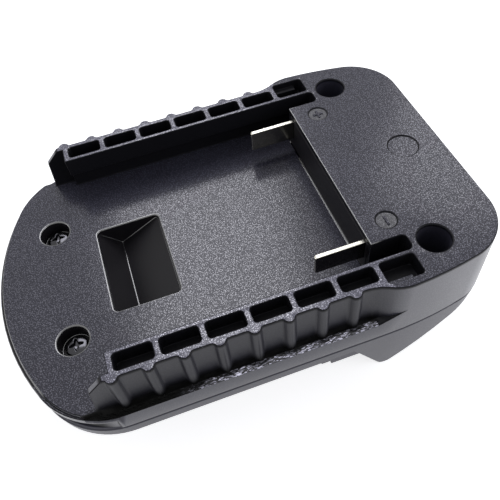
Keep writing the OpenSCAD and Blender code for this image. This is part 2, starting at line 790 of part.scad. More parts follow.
// One contact clip on the +Y side: two sprung leaves, a bridge and a wire barrel
module clip() {
    x0 = clip_x1 - clip_len;
    leaf = [[x0, clip_mouth], [x0 + clip_flare, clip_pinch], [x0 + clip_flare + clip_land, clip_pinch],
        [clip_x1 - clip_root, clip_half - contact_t], [clip_x1 - contact_t, clip_half - contact_t]];
    n = len(leaf) - 1;
    outline = concat(leaf, [for (i = [n:-1:0]) leaf[i] + [0, contact_t]]);
    difference() {
        union() {
            for (s = [1, -1]) translate([0, contact_y, 0]) slab(clip_z0, clip_z0 + clip_h)
                polygon([for (p = outline) [p.x, s * p.y]]);
            box([clip_x1 - contact_t, contact_y - clip_half, clip_z0],
                [clip_x1, contact_y + clip_half, clip_z0 + clip_h]);
            box([clip_x1 - eps, contact_y - contact_t / 2, clip_barrel_z - barrel_in],
                [clip_barrel_x + clip_lap, contact_y + contact_t / 2, clip_barrel_z + barrel_in]);
            translate([clip_barrel_x - clip_lap, lead_end_y, clip_barrel_z])
                rotate([0, 90, 0]) cylinder(r = barrel_out, h = barrel_len);
        }
        translate([clip_barrel_x - 2 * clip_lap, lead_end_y, clip_barrel_z])
            rotate([0, 90, 0]) cylinder(r = barrel_in, h = barrel_len + 2);
    }
}

module clip_positive() { color([0.78, 0.62, 0.36]) clip(); }
module clip_negative() { color([0.78, 0.62, 0.36]) mirror([0, 1, 0]) clip(); }

// Two screws that hold the clip holder on the channel's roof
module holder_screws() {
    color([0.7, 0.7, 0.72])
    both_sides() translate([holder_screw_x, holder_screw_y, holder_plate_z + holder_plate_t])
        screw(holder_plate_z + holder_plate_t - channel_roof);
}

// Route of the +Y lead from the blade's barrel round the back of the head to the clip's barrel
lead_route = concat(
    [[wall_x + blade_tail + lead_lap, barrel_y, barrel_z],
    [wall_x + blade_tail + barrel_len + lead_lap, barrel_y, barrel_z]],
    [for (p = arc([loop_x, barrel_z - loop_r], loop_r, 65, -90, 4))
        [p.x, barrel_y + lead_shift * (barrel_z - p.y) / (2 * loop_r), p.y]],
    [[(loop_x + knee_x) / 2, barrel_y + lead_shift, knee_z],
    [knee_x, barrel_y + lead_shift, knee_z],
    [(knee_x + foot_x) / 2, lead_end_y, (knee_z + foot_z) / 2],
    [foot_x, lead_end_y, foot_z],
    [clip_barrel_x + barrel_len + 3 * lead_lap, lead_end_y, clip_barrel_z],
    [clip_barrel_x + clip_lap, lead_end_y, clip_barrel_z]]);

// A point on a smooth curve through four route points
function spline(a, b, c, d, t) = 0.5 * (2 * b + (c - a) * t + (2 * a - 5 * b + 4 * c - d) * t * t
    + (3 * b - a - 3 * c + d) * t * t * t);
lead_steps = 4;
function route_point(i, t) = let (n = len(lead_route) - 1)
    spline(lead_route[max(i - 1, 0)], lead_route[i], lead_route[i + 1], lead_route[min(i + 2, n)], t);
lead_path = concat([for (i = [0:len(lead_route) - 2], k = [0:lead_steps - 1]) route_point(i, k / lead_steps)],
    [lead_route[len(lead_route) - 1]]);

// A closed tube of the given radius and sides along a path
module tube(path, r, sides, up) {
    n = len(path);
    ring = [for (i = [0:n - 1])
        let (t = unit(path[min(i + 1, n - 1)] - path[max(i - 1, 0)]), a = unit(cross(up, t)), b = cross(t, a))
        for (k = [0:sides - 1]) path[i] + r * (cos(360 * k / sides) * a + sin(360 * k / sides) * b)];
    walls = [for (i = [0:n - 2], k = [0:sides - 1])
        let (p = i * sides + k, q = i * sides + (k + 1) % sides)
        each [[p, p + sides, q], [q, p + sides, q + sides]]];
    first = [for (k = [1:sides - 2]) [0, k, k + 1]];
    last = [for (k = [1:sides - 2]) [(n - 1) * sides, (n - 1) * sides + k + 1, (n - 1) * sides + k]];
    polyhedron(concat(ring), concat(walls, first, last));
}

module lead() { tube(lead_path, lead_d / 2, 8, [0, 1, 0]); }
module lead_positive() { color([0.62, 0.08, 0.07]) lead(); }
module lead_negative() { color([0.07, 0.07, 0.08]) mirror([0, 1, 0]) lead(); }

// Release latch: ribbed thumb pad, arm and hook moulded as one piece
module release_latch() {
    color([0.12, 0.12, 0.13])
    difference() {
        union() {
            across(-pad_half, pad_half)
                polygon([[pad_x0, rake_z(pad_x0) - pad_proud], [pad_x1, rake_z(pad_x1) - pad_proud],
                    [pad_x1, pad_top], [pad_x0, pad_top]]);
            for (i = [1:pad_ribs]) {
                x = pad_x0 + i * (pad_x1 - pad_x0) / (pad_ribs + 1);
                translate([x, 0, rake_z(x) - pad_proud]) rotate([90, 0, 0])
                    cylinder(r = pad_rib_r, h = 2 * (pad_half - pad_margin), center = true, $fn = 24);
            }
            box([hook_x0, -arm_half, arm_z0], [pad_x0 + 1, arm_half, arm_z0 + arm_t]);
            across(-arm_half, arm_half)
                polygon([[hook_x0, arm_z0 + eps], [hook_x0, hook_tip_z + hook_lead],
                    [hook_x1 - hook_land, hook_tip_z], [hook_x1, hook_tip_z], [hook_x1, arm_z0 + eps]]);
        }
        for (y = [-spring_y, spring_y])
            translate([spring_x, y, spring_seat_z]) cylinder(r = spring_bore_r, h = seam_z);
    }
}

// One latch spring, wound from its seat in the pad up to the bridge
spring_len = bridge_z - spring_seat_z;
spring_pitch = (spring_len - spring_wire) / spring_turns;
spring_rings = 8 * spring_turns;
spring_path = [for (i = [0:spring_rings])
    [spring_r * cos(45 * i), spring_r * sin(45 * i), spring_wire / 2 + i * spring_pitch / 8]];
spring_gap = min([for (i = [0:spring_rings - 8]) norm(spring_path[i + 8] - spring_path[i])]) - spring_wire;
echo("gap between spring turns", spring_gap);

module latch_spring() {
    translate([spring_x, 0, spring_seat_z]) tube(spring_path, spring_wire / 2, 6, [0, 0, 1]);
}
module latch_spring_near() { color([0.75, 0.76, 0.78]) translate([0, -spring_y, 0]) latch_spring(); }
module latch_spring_far() { color([0.75, 0.76, 0.78]) translate([0, spring_y, 0]) latch_spring(); }

// Latch bridge: plate on two posts that backs the springs
module latch_bridge() {
    color([0.14, 0.14, 0.15])
    difference() {
        union() {
            slab(bridge_z, bridge_z + bridge_t)
                round_rect(spring_x - bridge_len / 2, -bridge_half,
                    spring_x + bridge_len / 2, bridge_half, bridge_r);
            for (y = [-spring_y, spring_y])
                translate([spring_x, y, bridge_z - spigot_h]) cylinder(r = spigot_r, h = spigot_h + eps);
        }
        both_sides() translate([spring_x, bridge_post_y, bridge_z - over])
            cylinder(r = screw_r + hole_gap, h = bridge_t + 2 * over);
    }
}

// Screws of the bridge, the deck and the head
module bridge_screws() {
    color([0.7, 0.7, 0.72])
    both_sides() translate([spring_x, bridge_post_y, bridge_z + bridge_t]) screw(bridge_t + bridge_screw_end);
}
module deck_screws() {
    color([0.7, 0.7, 0.72])
    both_sides() translate([wall_x - deck_screw_x, deck_screw_y, deck_seat_z]) screw(deck_screw_end);
}
module head_screws() {
    color([0.7, 0.7, 0.72])
    both_sides() translate([wall_x + head_screw_x, head_screw_y, head_seat_z])
        screw(seat_web + head_screw_end);
}

upper_shell();
lower_shell();
blade_carrier();
blade_positive();
blade_negative();
carrier_screws();
clip_holder();
clip_positive();
clip_negative();
holder_screws();
lead_positive();
lead_negative();
release_latch();
latch_spring_near();
latch_spring_far();
latch_bridge();
bridge_screws();
deck_screws();
head_screws();
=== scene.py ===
"""Dresses a slide-in battery adapter: moulded finishes, softened edges, screws, marks and a white studio.

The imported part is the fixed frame. Mouldings, stampings and leads are copies of their solids with rounded
edges. The screws, springs and polarity marks are surfaces worked out from formulas. Lengths are in metres.
"""

import json
import math
from itertools import combinations

import bmesh
import bpy
import numpy as np
from bpy.props import FloatProperty, FloatVectorProperty, IntProperty, PointerProperty
from mathutils import Matrix, Vector

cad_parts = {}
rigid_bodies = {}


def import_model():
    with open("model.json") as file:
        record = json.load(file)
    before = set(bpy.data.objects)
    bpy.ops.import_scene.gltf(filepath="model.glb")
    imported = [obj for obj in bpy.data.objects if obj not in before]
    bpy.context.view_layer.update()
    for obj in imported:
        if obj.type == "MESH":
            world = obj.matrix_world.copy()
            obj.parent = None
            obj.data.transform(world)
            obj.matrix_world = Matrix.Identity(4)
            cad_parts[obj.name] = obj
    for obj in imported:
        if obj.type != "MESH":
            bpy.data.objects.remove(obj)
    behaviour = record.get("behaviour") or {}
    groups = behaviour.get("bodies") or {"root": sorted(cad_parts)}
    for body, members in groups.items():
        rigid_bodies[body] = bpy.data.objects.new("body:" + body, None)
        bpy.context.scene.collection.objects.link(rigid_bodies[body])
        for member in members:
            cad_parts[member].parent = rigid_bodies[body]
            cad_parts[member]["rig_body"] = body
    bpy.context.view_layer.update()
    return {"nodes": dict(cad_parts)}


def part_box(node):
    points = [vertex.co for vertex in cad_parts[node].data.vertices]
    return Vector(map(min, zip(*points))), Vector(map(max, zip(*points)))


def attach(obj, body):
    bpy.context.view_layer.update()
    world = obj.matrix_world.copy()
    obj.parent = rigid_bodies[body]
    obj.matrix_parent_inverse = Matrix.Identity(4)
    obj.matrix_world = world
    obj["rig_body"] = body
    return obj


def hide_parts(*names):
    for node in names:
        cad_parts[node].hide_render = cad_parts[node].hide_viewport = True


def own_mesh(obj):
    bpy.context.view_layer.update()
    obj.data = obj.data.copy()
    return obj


bl_info = {
    "name": "Battery adapter looks",
    "version": (1, 0, 0),
    "blender": (4, 5, 0),
    "location": "3D View > Sidebar > Adapter",
    "description": "Finishes, softened edges, fasteners and studio for a slide-in battery adapter",
    "category": "Object",
}

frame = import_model()
MM = 0.001
NODES = frame["nodes"]

# Places on the upper shell: X from the head wall, Y from the middle, Z from the ground
HEAD_WALL_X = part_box("blade_carrier")[0].x
HEAD_TOP_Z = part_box("upper_shell")[1].z
DECK_Z = HEAD_TOP_Z - 11.4 * MM
SHELF_Z = DECK_Z - 1.1 * MM
FOOT_R = 1.4 * MM
RAIL_OUT, LIP_HALF = 34.9 * MM, 28.75 * MM
POCKET_IN, POCKET_OUT, LAST_POCKET_OUT = 29.8 * MM, 33.65 * MM, 35.3 * MM
POCKET_DEPTH, STEP_DEPTH = 4.0 * MM, 1.8 * MM
SLOT_IN, SLOT_END = 24.65 * MM, 10 * MM
HEAD_BORE_X, HEAD_BORE_Y, HEAD_BORE_R = 13.45 * MM, 28.1 * MM, 3.75 * MM
DECK_BORE_X, DECK_BORE_Y, DECK_BORE_R = -68.3 * MM, 16.5 * MM, 3.65 * MM
CATCH_X0, CATCH_X1, CATCH_HALF = -57.9 * MM, -41.8 * MM, 12.7 * MM
SUNK_END, SUNK_HALF = -30 * MM, 25 * MM
MARK_R = 2.5 * MM
RIB_X0, RIB_PITCH, RIB_END = -59.73 * MM, 7.36 * MM, 4.1 * MM

# How faces and edges are told from their neighbours, and how near points have to lie to be merged
NEAR, CLOSE, TOUCH = 0.2 * MM, 0.1 * MM, 0.05 * MM
LEVEL, LEANING = 0.9, 0.3
FOOT_TURN = 0.1, 0.98
MERGE_REACH, POLE_REACH = 2e-5, 1e-7
FLAT_TURN = math.radians(0.3)
SHARP_TURN = math.radians(25)
FEATHER_TIP = math.radians(20)

# Slots of the upper shell's finishes, in the order of its materials
GRAINED, PAINTED_EDGE, SATIN_SHADE, SUNK_SHADE, PAINTED_SHADE, PAINTED_GLINT, RIB_SHADE, FROSTED, RAIL_LIGHT = range(9)

# Blade tips: places along the solid's lead-in, where they go, and the share of its drop that stays
TIP_LEAD, TIP_BLUNT, TIP_DROP = (0, 0.45 * MM, 1.2 * MM), (0, 0.15 * MM, 0.5 * MM), 0.35
TIP_END = 1.1 * TIP_LEAD[-1]

# Screws: facets, crown and round of the head, its rim, the cross recess, the thread and the point
SCREW_SIDES, HEAD_RINGS, SHANK_RINGS, SHANK_START = 72, 30, 60, 0.02
HEAD_CROWN, HEAD_ROUND = 0.25, 0.25 * MM
RIM_INSET, RIM_HIGH, RIM_LOW = 0.08 * MM, 0.68, 0.55
RECESS_FLARE, RECESS_WALL, RECESS_END, RECESS_RISE = 1.25, 0.12 * MM, 0.35 * MM, 0.35
THREAD_SLOPE, THREAD_FLAT = 1.6, 0.3
POINT_LEN, POINT_SHARE = 1.6 * MM, 0.12

# Grain: reach of a peak, gain and loss of the tint by its speckle, and what the peaks' polish takes off
PEAK_REACH = 0.6
SPECKLE_GAIN, SPECKLE_LOSS, LEAST_TINT = 2.0, 0.6, 0.3
PEAK_POLISH = 0.12
SKIN_IOR = 2.2

# Mottles and drawn lines
MOTTLE = {"Cells": 70.0, "Low": 0.86, "High": 1.14}
METAL_MOTTLE = {"Cells": 220.0, "Low": 0.85, "High": 1.1}
MOTTLE_DETAIL = 3.0
LINE_SCALE, LINE_DETAIL, LINE_STRETCH = 900.0, 2.0, (0.06, 1.0, 4.0)
LINE_DEPTH = 0.004 * MM

# Satin walls: gloss of the wall and of its sparkle, and painted shade beside the rails and in their foot
WALL_GLOSS, WALL_SPARKLE, WALL_RELIEF = 0.75, 0.5, 0.12
WALL_SHADER = {"Roughness": 0.45, "Specular IOR Level": 0.1, "Coat Roughness": 0.34, "Coat IOR": 1.62}
BESIDE_SHADE, FOOT_SHADE = 0.6, 0.4

# Fades from nought to one, as distances from the top, the shelf, the head wall or the middle; they spread
# painted shade, highlights and glints
RIM_SHADE_FADE = -0.3 * MM, -1.1 * MM
GROOVE_SHADE_FADE = -1.6 * MM, -1.9 * MM
FOOT_SHADE_FADE = 4 * MM, 0.3 * MM
SEAM_SHADE_FADE = -62.8 * MM, -66.8 * MM
BESIDE_SHADE_FADE = 4 * MM, -4 * MM
# Painted highlight on the rounded edges: their coat is on nearer the middle than 26 mm and short of the head,
# and off beyond
EDGE_HIGHLIGHT_FADE_X = 3 * MM, MM
EDGE_HIGHLIGHT_FADE_Y = 28 * MM, 26 * MM
# More painted glints on the shelf towards the head
PAINTED_GLINT_FADE = -50 * MM, -34 * MM

# Coat roughness of the painted highlights on the edges and of the painted glints on the shelf
EDGE_HIGHLIGHT_COAT, SHELF_GLINT_COAT = 0.22, 0.3

# The shelf's wavy toe, inside which painted shade keeps the painted glints down: swing, width and share left
# inside
TOE_SWING, TOE_WIDTH, TOE_LEFT = 0.5 * MM, 0.4 * MM, 0.15

# Studio
SENSOR_WIDTH = 36.0
CLIP_START, CLIP_END = 0.005, 20.0
FLOOR_SIDES, FLOOR_RADII = 64, (0.0, 0.2, 1.0, 4.0)
FLOOR_SHADER = {"Base Color": (0.8, 0.8, 0.8, 1), "Roughness": 0.9, "Specular IOR Level": 0.0}
FLOOR_GLOW = 0.75
WHITE, SKY_COLOUR, LAMP_COLOUR = (1, 1, 1, 1), (0.92, 0.94, 1, 1), (0.94, 0.94, 1.0)

# Colour sockets of a Mix node
MIX_A, MIX_B, MIX_RESULT = 6, 7, 2


def length_prop(name, description, default):
    """A length that a user may change."""
    return FloatProperty(name=name, description=description, default=default, unit="LENGTH")


def colour_prop(name, description, default):
    """A colour that a user may change."""
    return FloatVectorProperty(name=name, description=description, default=default, subtype="COLOR", size=3)


def power_prop(name, description, default):
    """A lamp's power that a user may change."""
    return FloatProperty(name=name, description=description, default=default, unit="POWER")


class AdapterSizes(bpy.types.PropertyGroup):
    """Sizes of what the scene adds to the solids."""

    edge: length_prop("Edge radius", "Round on the moulded edges", 0.2 * MM)
    rim_edge: length_prop("Rim radius", "Round on the rims of bores, latch pocket and rails' lips", 0.4 * MM)
    seam_edge: length_prop("Seam edge radius", "Round on the lower shell's and the carrier's edges", 0.2 * MM)
    fine_edge: length_prop("Fine edge radius", "Round on stamped metal and small mouldings", 0.12 * MM)
    edge_steps: IntProperty(
        name="Edge steps", description="Facets across each rounded edge", default=2, min=1, max=4)
    fillet_r: length_prop("Wall fillet", "Hollow round along the foot of the carrier's wall", 0.45 * MM)
    recess_r: length_prop("Cross recess reach", "Reach of the arms of a screw's cross recess", 1.75 * MM)
    recess_w: length_prop("Cross recess width", "Half width of the arms of the cross recess", 0.5 * MM)
    recess_depth: length_prop("Cross recess depth", "Depth of the cross recess at its centre", 1.25 * MM)
    thread_pitch: length_prop("Thread pitch", "Pitch of the screws' threads", 1.1 * MM)
    thread_depth: length_prop("Thread depth", "Depth of the screws' threads", 0.3 * MM)
    mark_x: length_prop("Mark distance", "Distance of the polarity marks behind the head wall", 6.25 * MM)
    mark_y: length_prop("Mark half spacing", "Half spacing of the polarity marks", 19.6 * MM)
    mark_depth: length_prop("Mark recess", "Depth of the round recess of each mark", 0.3 * MM)
    mark_reach: length_prop("Mark reach", "Half length of the bars of each sign", 1.3 * MM)
    mark_bar: length_prop("Mark bar", "Half width of the bars of each sign", 0.27 * MM)


class AdapterFinish(bpy.types.PropertyGroup):
    """Colours and grain of the finishes."""

    upper: colour_prop("Upper plastic", "Colour of the upper shell", (0.037, 0.0365, 0.053))
    lower: colour_prop("Lower plastic", "Colour of the lower shell", (0.034, 0.033, 0.049))
    # The edges' dark colour paints shade lines along them
    edge: colour_prop("Painted edge shade", "Colour of the rounded edges", (0.010, 0.010, 0.013))
    # A near-black colour that paints the shade in the sunk latch pocket and the deck's bores
    sunk_shade: colour_prop(
        "Sunk shade plastic", "Colour of the latch pocket and the deck's bores", (0.010, 0.0092, 0.011))
    # Painted shade: a near-black colour for the deep grooves, pockets, the head's front face and the ramp
    dull: colour_prop("Painted shade plastic", "Colour of the deep grooves and pockets", (0.006, 0.006, 0.008))
    inner: colour_prop(
        "Inner plastic", "Colour of the carrier, holder, bridge and latch", (0.012, 0.0115, 0.014))
    # The rails' tops are painted lighter than the deck, standing in for the light they catch
    rail: colour_prop("Rail tops", "Colour of the rails' tops, painted lighter", (0.15, 0.147, 0.185))
    frosted: colour_prop("Frosted plastic", "Colour of the polarity marks' recesses", (0.05, 0.05, 0.06))
    # The shelf's colour carries its painted glints
    shelf: colour_prop("Shelf plastic", "Colour of the shelf beside the near rail", (0.058, 0.057, 0.066))
    blade: colour_prop("Blade metal", "Colour of the plated blades' edges", (0.74, 0.72, 0.64))
    # The blades' faces take a darker copy of their metal: painted shade
    painted_dark: colour_prop("Blade face shade", "Colour of the blades' rolled faces", (0.34, 0.33, 0.29))
    clip: colour_prop("Clip metal", "Colour of the contact clips", (0.72, 0.52, 0.26))
    steel: colour_prop("Zinc steel", "Colour of the inner screws and the springs", (0.55, 0.55, 0.57))
    dark_steel: colour_prop("Blackened steel", "Colour of the housing screws", (0.055, 0.055, 0.06))
    lead_red: colour_prop("Red lead", "Colour of the positive lead", (0.42, 0.02, 0.018))
    lead_black: colour_prop("Black lead", "Colour of the negative lead", (0.014, 0.014, 0.015))
    grain: FloatProperty(
        name="Grain", description="Cells of spark-eroded grain along one metre", default=3000.0, min=100.0)
    grain_depth: length_prop("Grain depth", "Height of the grain", 0.12 * MM)
    gloss: FloatProperty(
        name="Top gloss", description="Roughness of the glossy skin over the grained faces", default=0.19,
        min=0.0, max=1.0, subtype="FACTOR")


class AdapterStudio(bpy.types.PropertyGroup):
    """Camera and lights."""

    eye: FloatVectorProperty(
        name="Camera", description="Place of the camera", subtype="TRANSLATION", unit="LENGTH", size=3,
        default=(-14.49 * MM, -88.57 * MM, 137.73 * MM))
    target: FloatVectorProperty(
        name="Target", description="Point that the camera looks at", subtype="TRANSLATION", unit="LENGTH",
        size=3, default=(4.69 * MM, -7.78 * MM, 26.5 * MM))
    roll: FloatProperty(
        name="Roll", description="Turn of the camera about its view", subtype="ANGLE",
        default=math.radians(-7.14))
    lens: FloatProperty(
        name="Lens", description="Focal length on a sensor 36 mm wide, in millimetres", default=40.73)
    shift: FloatVectorProperty(
        name="Shift", description="Shift of the frame, in widths", size=2, default=(-0.0072, -0.0020))
    key: power_prop("Key light", "Power of the box behind the part", 1.5)
    back: power_prop("Back light", "Power of the box behind on the right", 0.42)
    side: power_prop("Side light", "Power of the box at the right front", 0.66)
    strip: power_prop("Strip light", "Power of the strip at the left", 0.2)
    ambient: FloatProperty(
        name="Ambient", description="Strength of the white surroundings on the object", default=0.4, min=0.0)


def sizes():
    """The scene's size properties."""
    return bpy.context.scene.adapter_sizes


def finish():
    """The scene's finish properties."""
    return bpy.context.scene.adapter_finish


def studio():
    """The scene's studio properties."""
    return bpy.context.scene.adapter_studio


# Meshes


def body_of(node):
    """Name of the CAD body that carries a node."""
    return NODES[node]["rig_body"]


def new_piece(name, mesh, body, material, replaced=()):
    """An object at the origin that rides on a body, with its material, which hides the nodes it stands for.
    """
    piece = bpy.data.objects.new(name, mesh)
    bpy.context.scene.collection.objects.link(piece)
    mesh.materials.append(material)
    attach(piece, body)
    if replaced:
        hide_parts(*replaced)
    return piece


def smooth(mesh):
    """Marks every face of a mesh as smooth."""
    mesh.polygons.foreach_set("use_smooth", np.ones(len(mesh.polygons), bool))
    mesh.update()


def grid_mesh(name, grids, wrap=False, soft=True):
    """One mesh from grids of points of shape (rows, columns, 3).

    With wrap, each row closes on itself. If soft, the faces are smooth.
    """
    points, faces, first = [], [], 0
    for grid in grids:
        rows, columns = grid.shape[:2]
        index = first + np.arange(rows * columns).reshape(rows, columns)
        if wrap:
            index = np.concatenate([index, index[:, :1]], axis=1)
        faces.append(np.stack(
            [index[:-1, :-1], index[:-1, 1:], index[1:, 1:], index[1:, :-1]], axis=-1).reshape(-1, 4))
        points.append(grid.reshape(-1, 3))
        first += rows * columns
    mesh = bpy.data.meshes.new(name)
    mesh.from_pydata(np.concatenate(points).tolist(), [], np.concatenate(faces).tolist())
    work = bmesh.new()
    work.from_mesh(mesh)
    bmesh.ops.remove_doubles(work, verts=work.verts, dist=POLE_REACH)
    bmesh.ops.recalc_face_normals(work, faces=work.faces)
    work.to_mesh(mesh)
    work.free()
    if soft:
        smooth(mesh)
    return mesh


def solid_copy(node, name):
    """A copy of a node's mesh with its loose triangles merged and its flat facets joined."""
    work = bmesh.new()
    work.from_mesh(NODES[node].data)
    bmesh.ops.remove_doubles(work, verts=work.verts, dist=MERGE_REACH)
    bmesh.ops.dissolve_limit(work, angle_limit=FLAT_TURN, verts=work.verts, edges=work.edges)
    bmesh.ops.connect_verts_concave(work, faces=work.faces)
    mesh = bpy.data.meshes.new(name)
    work.to_mesh(mesh)
    work.free()
    smooth(mesh)
    return mesh


def weigh_edges(mesh, share, calm, rim):
    """Gives a bevel weight to each edge whose faces turn by more than the sharp turn.

    It is one on a rim, and the share elsewhere. Two edges that meet in a feather tip stay as they are, and so
    do those whose ends are both in a calm place.
    """
    work = bmesh.new()
    work.from_mesh(mesh)
    weight = work.edges.layers.float.new("bevel_weight_edge")
    sharp = {edge for edge in work.edges if edge.calc_face_angle(0.0) > SHARP_TURN}
    if calm:
        sharp -= {edge for edge in sharp if all(calm(vert.co) for vert in edge.verts)}
    feathers = set()
    for vert in work.verts:
        for a, b in combinations([edge for edge in vert.link_edges if edge in sharp], 2):
            if (a.other_vert(vert).co - vert.co).angle(b.other_vert(vert).co - vert.co) < FEATHER_TIP:
                feathers |= {a, b}
    for edge in sharp - feathers:
        edge[weight] = 1.0 if rim and all(rim(vert.co) for vert in edge.verts) else share
    work.to_mesh(mesh)
    work.free()


def softened(node, name, material, radius, edge=None, rim_radius=0.0, calm=None, rim=None):
    """A node's solid with a round of the given radius, in the edge finish, on each of its weighed edges."""
    mesh = solid_copy(node, name)
    width = max(radius, rim_radius)
    weigh_edges(mesh, radius / width, calm, rim)
    piece = new_piece(name, mesh, body_of(node), material, [node])
    bevel = piece.modifiers.new("Rounded edges", "BEVEL")
    bevel.width = width
    bevel.segments = sizes().edge_steps
    bevel.limit_method = "WEIGHT"
    bevel.use_clamp_overlap = False
    bevel.loop_slide = False
    # The rounds take the edge material, which paints shade lines and highlights along them
    if edge:
        piece.data.materials.append(edge)
        bevel.material = PAINTED_EDGE
    weighted = piece.modifiers.new("Flat faces", "WEIGHTED_NORMAL")
    weighted.weight = 100
    weighted.keep_sharp = True
    return piece


def face_arrays(mesh):
    """Centres and normals of a mesh's faces, as arrays."""
    count = len(mesh.polygons)
    centre = np.empty(count * 3)
    normal = np.empty(count * 3)
    mesh.polygons.foreach_get("center", centre)
    mesh.polygons.foreach_get("normal", normal)
    return centre.reshape(-1, 3), normal.reshape(-1, 3)


def tube(path, radius, sides, up):
    """A tube along a path: circles of the radius in the planes across it, and a point at each end."""
    tangent = np.gradient(path, axis=0)
    tangent /= np.linalg.norm(tangent, axis=1, keepdims=True)
    across = np.cross(np.broadcast_to(up, path.shape), tangent)
    across /= np.linalg.norm(across, axis=1, keepdims=True)
    other = np.cross(tangent, across)
    angle = np.linspace(0, 2 * np.pi, sides, endpoint=False)[None, :, None]
    ring = np.cos(angle) * across[:, None] + np.sin(angle) * other[:, None]
    rows = path[:, None] + radius * ring
    caps = [np.repeat(path[i][None, None], sides, axis=1) for i in (0, -1)]
    return np.concatenate([caps[0], rows, caps[1]])


def screw_surface(head_r, head_h, shank_r, shank_len):
    """A cross-recessed pan head screw with its seat at z = 0, as radius and height over profile and angle.

    The head's top is a shallow dome, lowered along two crossed arms. The shank's radius follows a helix, with
    a groove wherever the height over the pitch, less the turn, is near a half, and tapers to a point.
    """
    s = sizes()
    angle = np.linspace(0, 2 * np.pi, SCREW_SIDES, endpoint=False)[None]
    top_r = np.linspace(0, head_r - HEAD_ROUND, HEAD_RINGS)[:, None]
    x, y = top_r * np.cos(angle), top_r * np.sin(angle)
    dome = head_h - HEAD_CROWN * head_h * (top_r / head_r) ** 2

    def arm(along, sideways):
        """One inside an arm that narrows outwards, with sloped walls."""
        half_width = s.recess_w * (RECESS_FLARE - np.abs(along) / s.recess_r)
        side = np.clip((half_width - np.abs(sideways)) / RECESS_WALL + 0.5, 0, 1)
        return side * np.clip((s.recess_r - np.abs(along)) / RECESS_END, 0, 1)

    depth = s.recess_depth * (1 - RECESS_RISE * top_r / s.recess_r)
    top_z = dome - depth * np.maximum(arm(x, y), arm(y, x))
    rim = np.array([[head_r - RIM_INSET, RIM_HIGH * head_h], [head_r, RIM_LOW * head_h],
                    [head_r, 0.0], [shank_r, 0.0]])
    down = -np.linspace(SHANK_START, 1, SHANK_RINGS)[:, None] * shank_len
    turn = np.abs((down / s.thread_pitch - angle / (2 * np.pi)) % 1 - 0.5) * 2
    point = np.clip((down + shank_len) / POINT_LEN, POINT_SHARE, 1)
    shank = (shank_r - s.thread_depth * np.clip(THREAD_SLOPE * (1 - turn) - THREAD_FLAT, 0, 1)) * point
    whole = np.ones_like(angle)
    r = np.concatenate([top_r * whole, rim[:, :1] * whole, shank, 0 * whole])
    z = np.concatenate([top_z, rim[:, 1:] * whole, down * whole, -shank_len * whole])
    return np.stack([r * np.cos(angle), r * np.sin(angle), z], axis=-1)


def prism(outline, height):
    """A closed prism over an outline round the origin, in rows from its floor's middle to its top's."""
    edge = np.asarray(outline, float)
    centre = np.zeros_like(edge)
    rows = [(centre, 0.0), (edge, 0.0), (edge, height), (centre, height)]
    return np.stack([np.column_stack([plan, np.full(len(plan), z)]) for plan, z in rows])


# Finishes


def set_values(node, values):
    """Sets a node's own input values."""
    for label, value in values.items():
        node.inputs[label].default_value = value


def math_node(tree, operation, a, b=None):
    """The output of a Math node over sockets or numbers."""
    node = tree.nodes.new("ShaderNodeMath")
    node.operation = operation
    for socket, value in zip(node.inputs, (a, b)):
        if isinstance(value, bpy.types.NodeSocket):
            tree.links.new(value, socket)
        elif value is not None:
            socket.default_value = value
    return node.outputs[0]


def object_place(tree):
    """The Object coordinates."""
    return tree.nodes.new("ShaderNodeTexCoord").outputs["Object"]


def object_axes(tree):
    """The Object coordinates, split into X, Y and Z."""
    split = tree.nodes.new("ShaderNodeSeparateXYZ")
    tree.links.new(object_place(tree), split.inputs[0])
    return split.outputs


def fade(tree, axis, datum, start, end, mirrored=False):
    """A smooth rise along an axis from nought at the start to one at the end, both measured from the datum.

    If mirrored, it goes by the size of the coordinate.
    """
    place = object_axes(tree)[axis]
    if mirrored:
        place = math_node(tree, "ABSOLUTE", place)
    ramp = tree.nodes.new("ShaderNodeMapRange")
    ramp.interpolation_type = "SMOOTHSTEP"
    set_values(ramp, {"From Min": datum + min(start, end), "From Max": datum + max(start, end)})
    tree.links.new(place, ramp.inputs["Value"])
    rise = ramp.outputs["Result"]
    return rise if start < end else math_node(tree, "SUBTRACT", 1.0, rise)


def noise_node(tree, place, detail):
    """A Noise texture over coordinates, with its detail set."""
    noise = tree.nodes.new("ShaderNodeTexNoise")
    noise.inputs["Detail"].default_value = detail
    tree.links.new(place, noise.inputs["Vector"])
    return noise


def new_group(name, inputs, outputs):
    """An empty shader node group with named number inputs and outputs."""
    group = bpy.data.node_groups.new(name, "ShaderNodeTree")
    for label, default in inputs.items():
        socket = group.interface.new_socket(label, in_out="INPUT", socket_type="NodeSocketFloat")
        socket.default_value = default
    for label in outputs:
        group.interface.new_socket(label, in_out="OUTPUT", socket_type="NodeSocketFloat")
    return group, group.nodes.new("NodeGroupInput"), group.nodes.new("NodeGroupOutput")


def spread(tree, factor, given):
    """A factor from nought to one, spread between a group's low and high inputs."""
    span = math_node(tree, "SUBTRACT", given.outputs["High"], given.outputs["Low"])
    return math_node(tree, "ADD", math_node(tree, "MULTIPLY", factor, span), given.outputs["Low"])


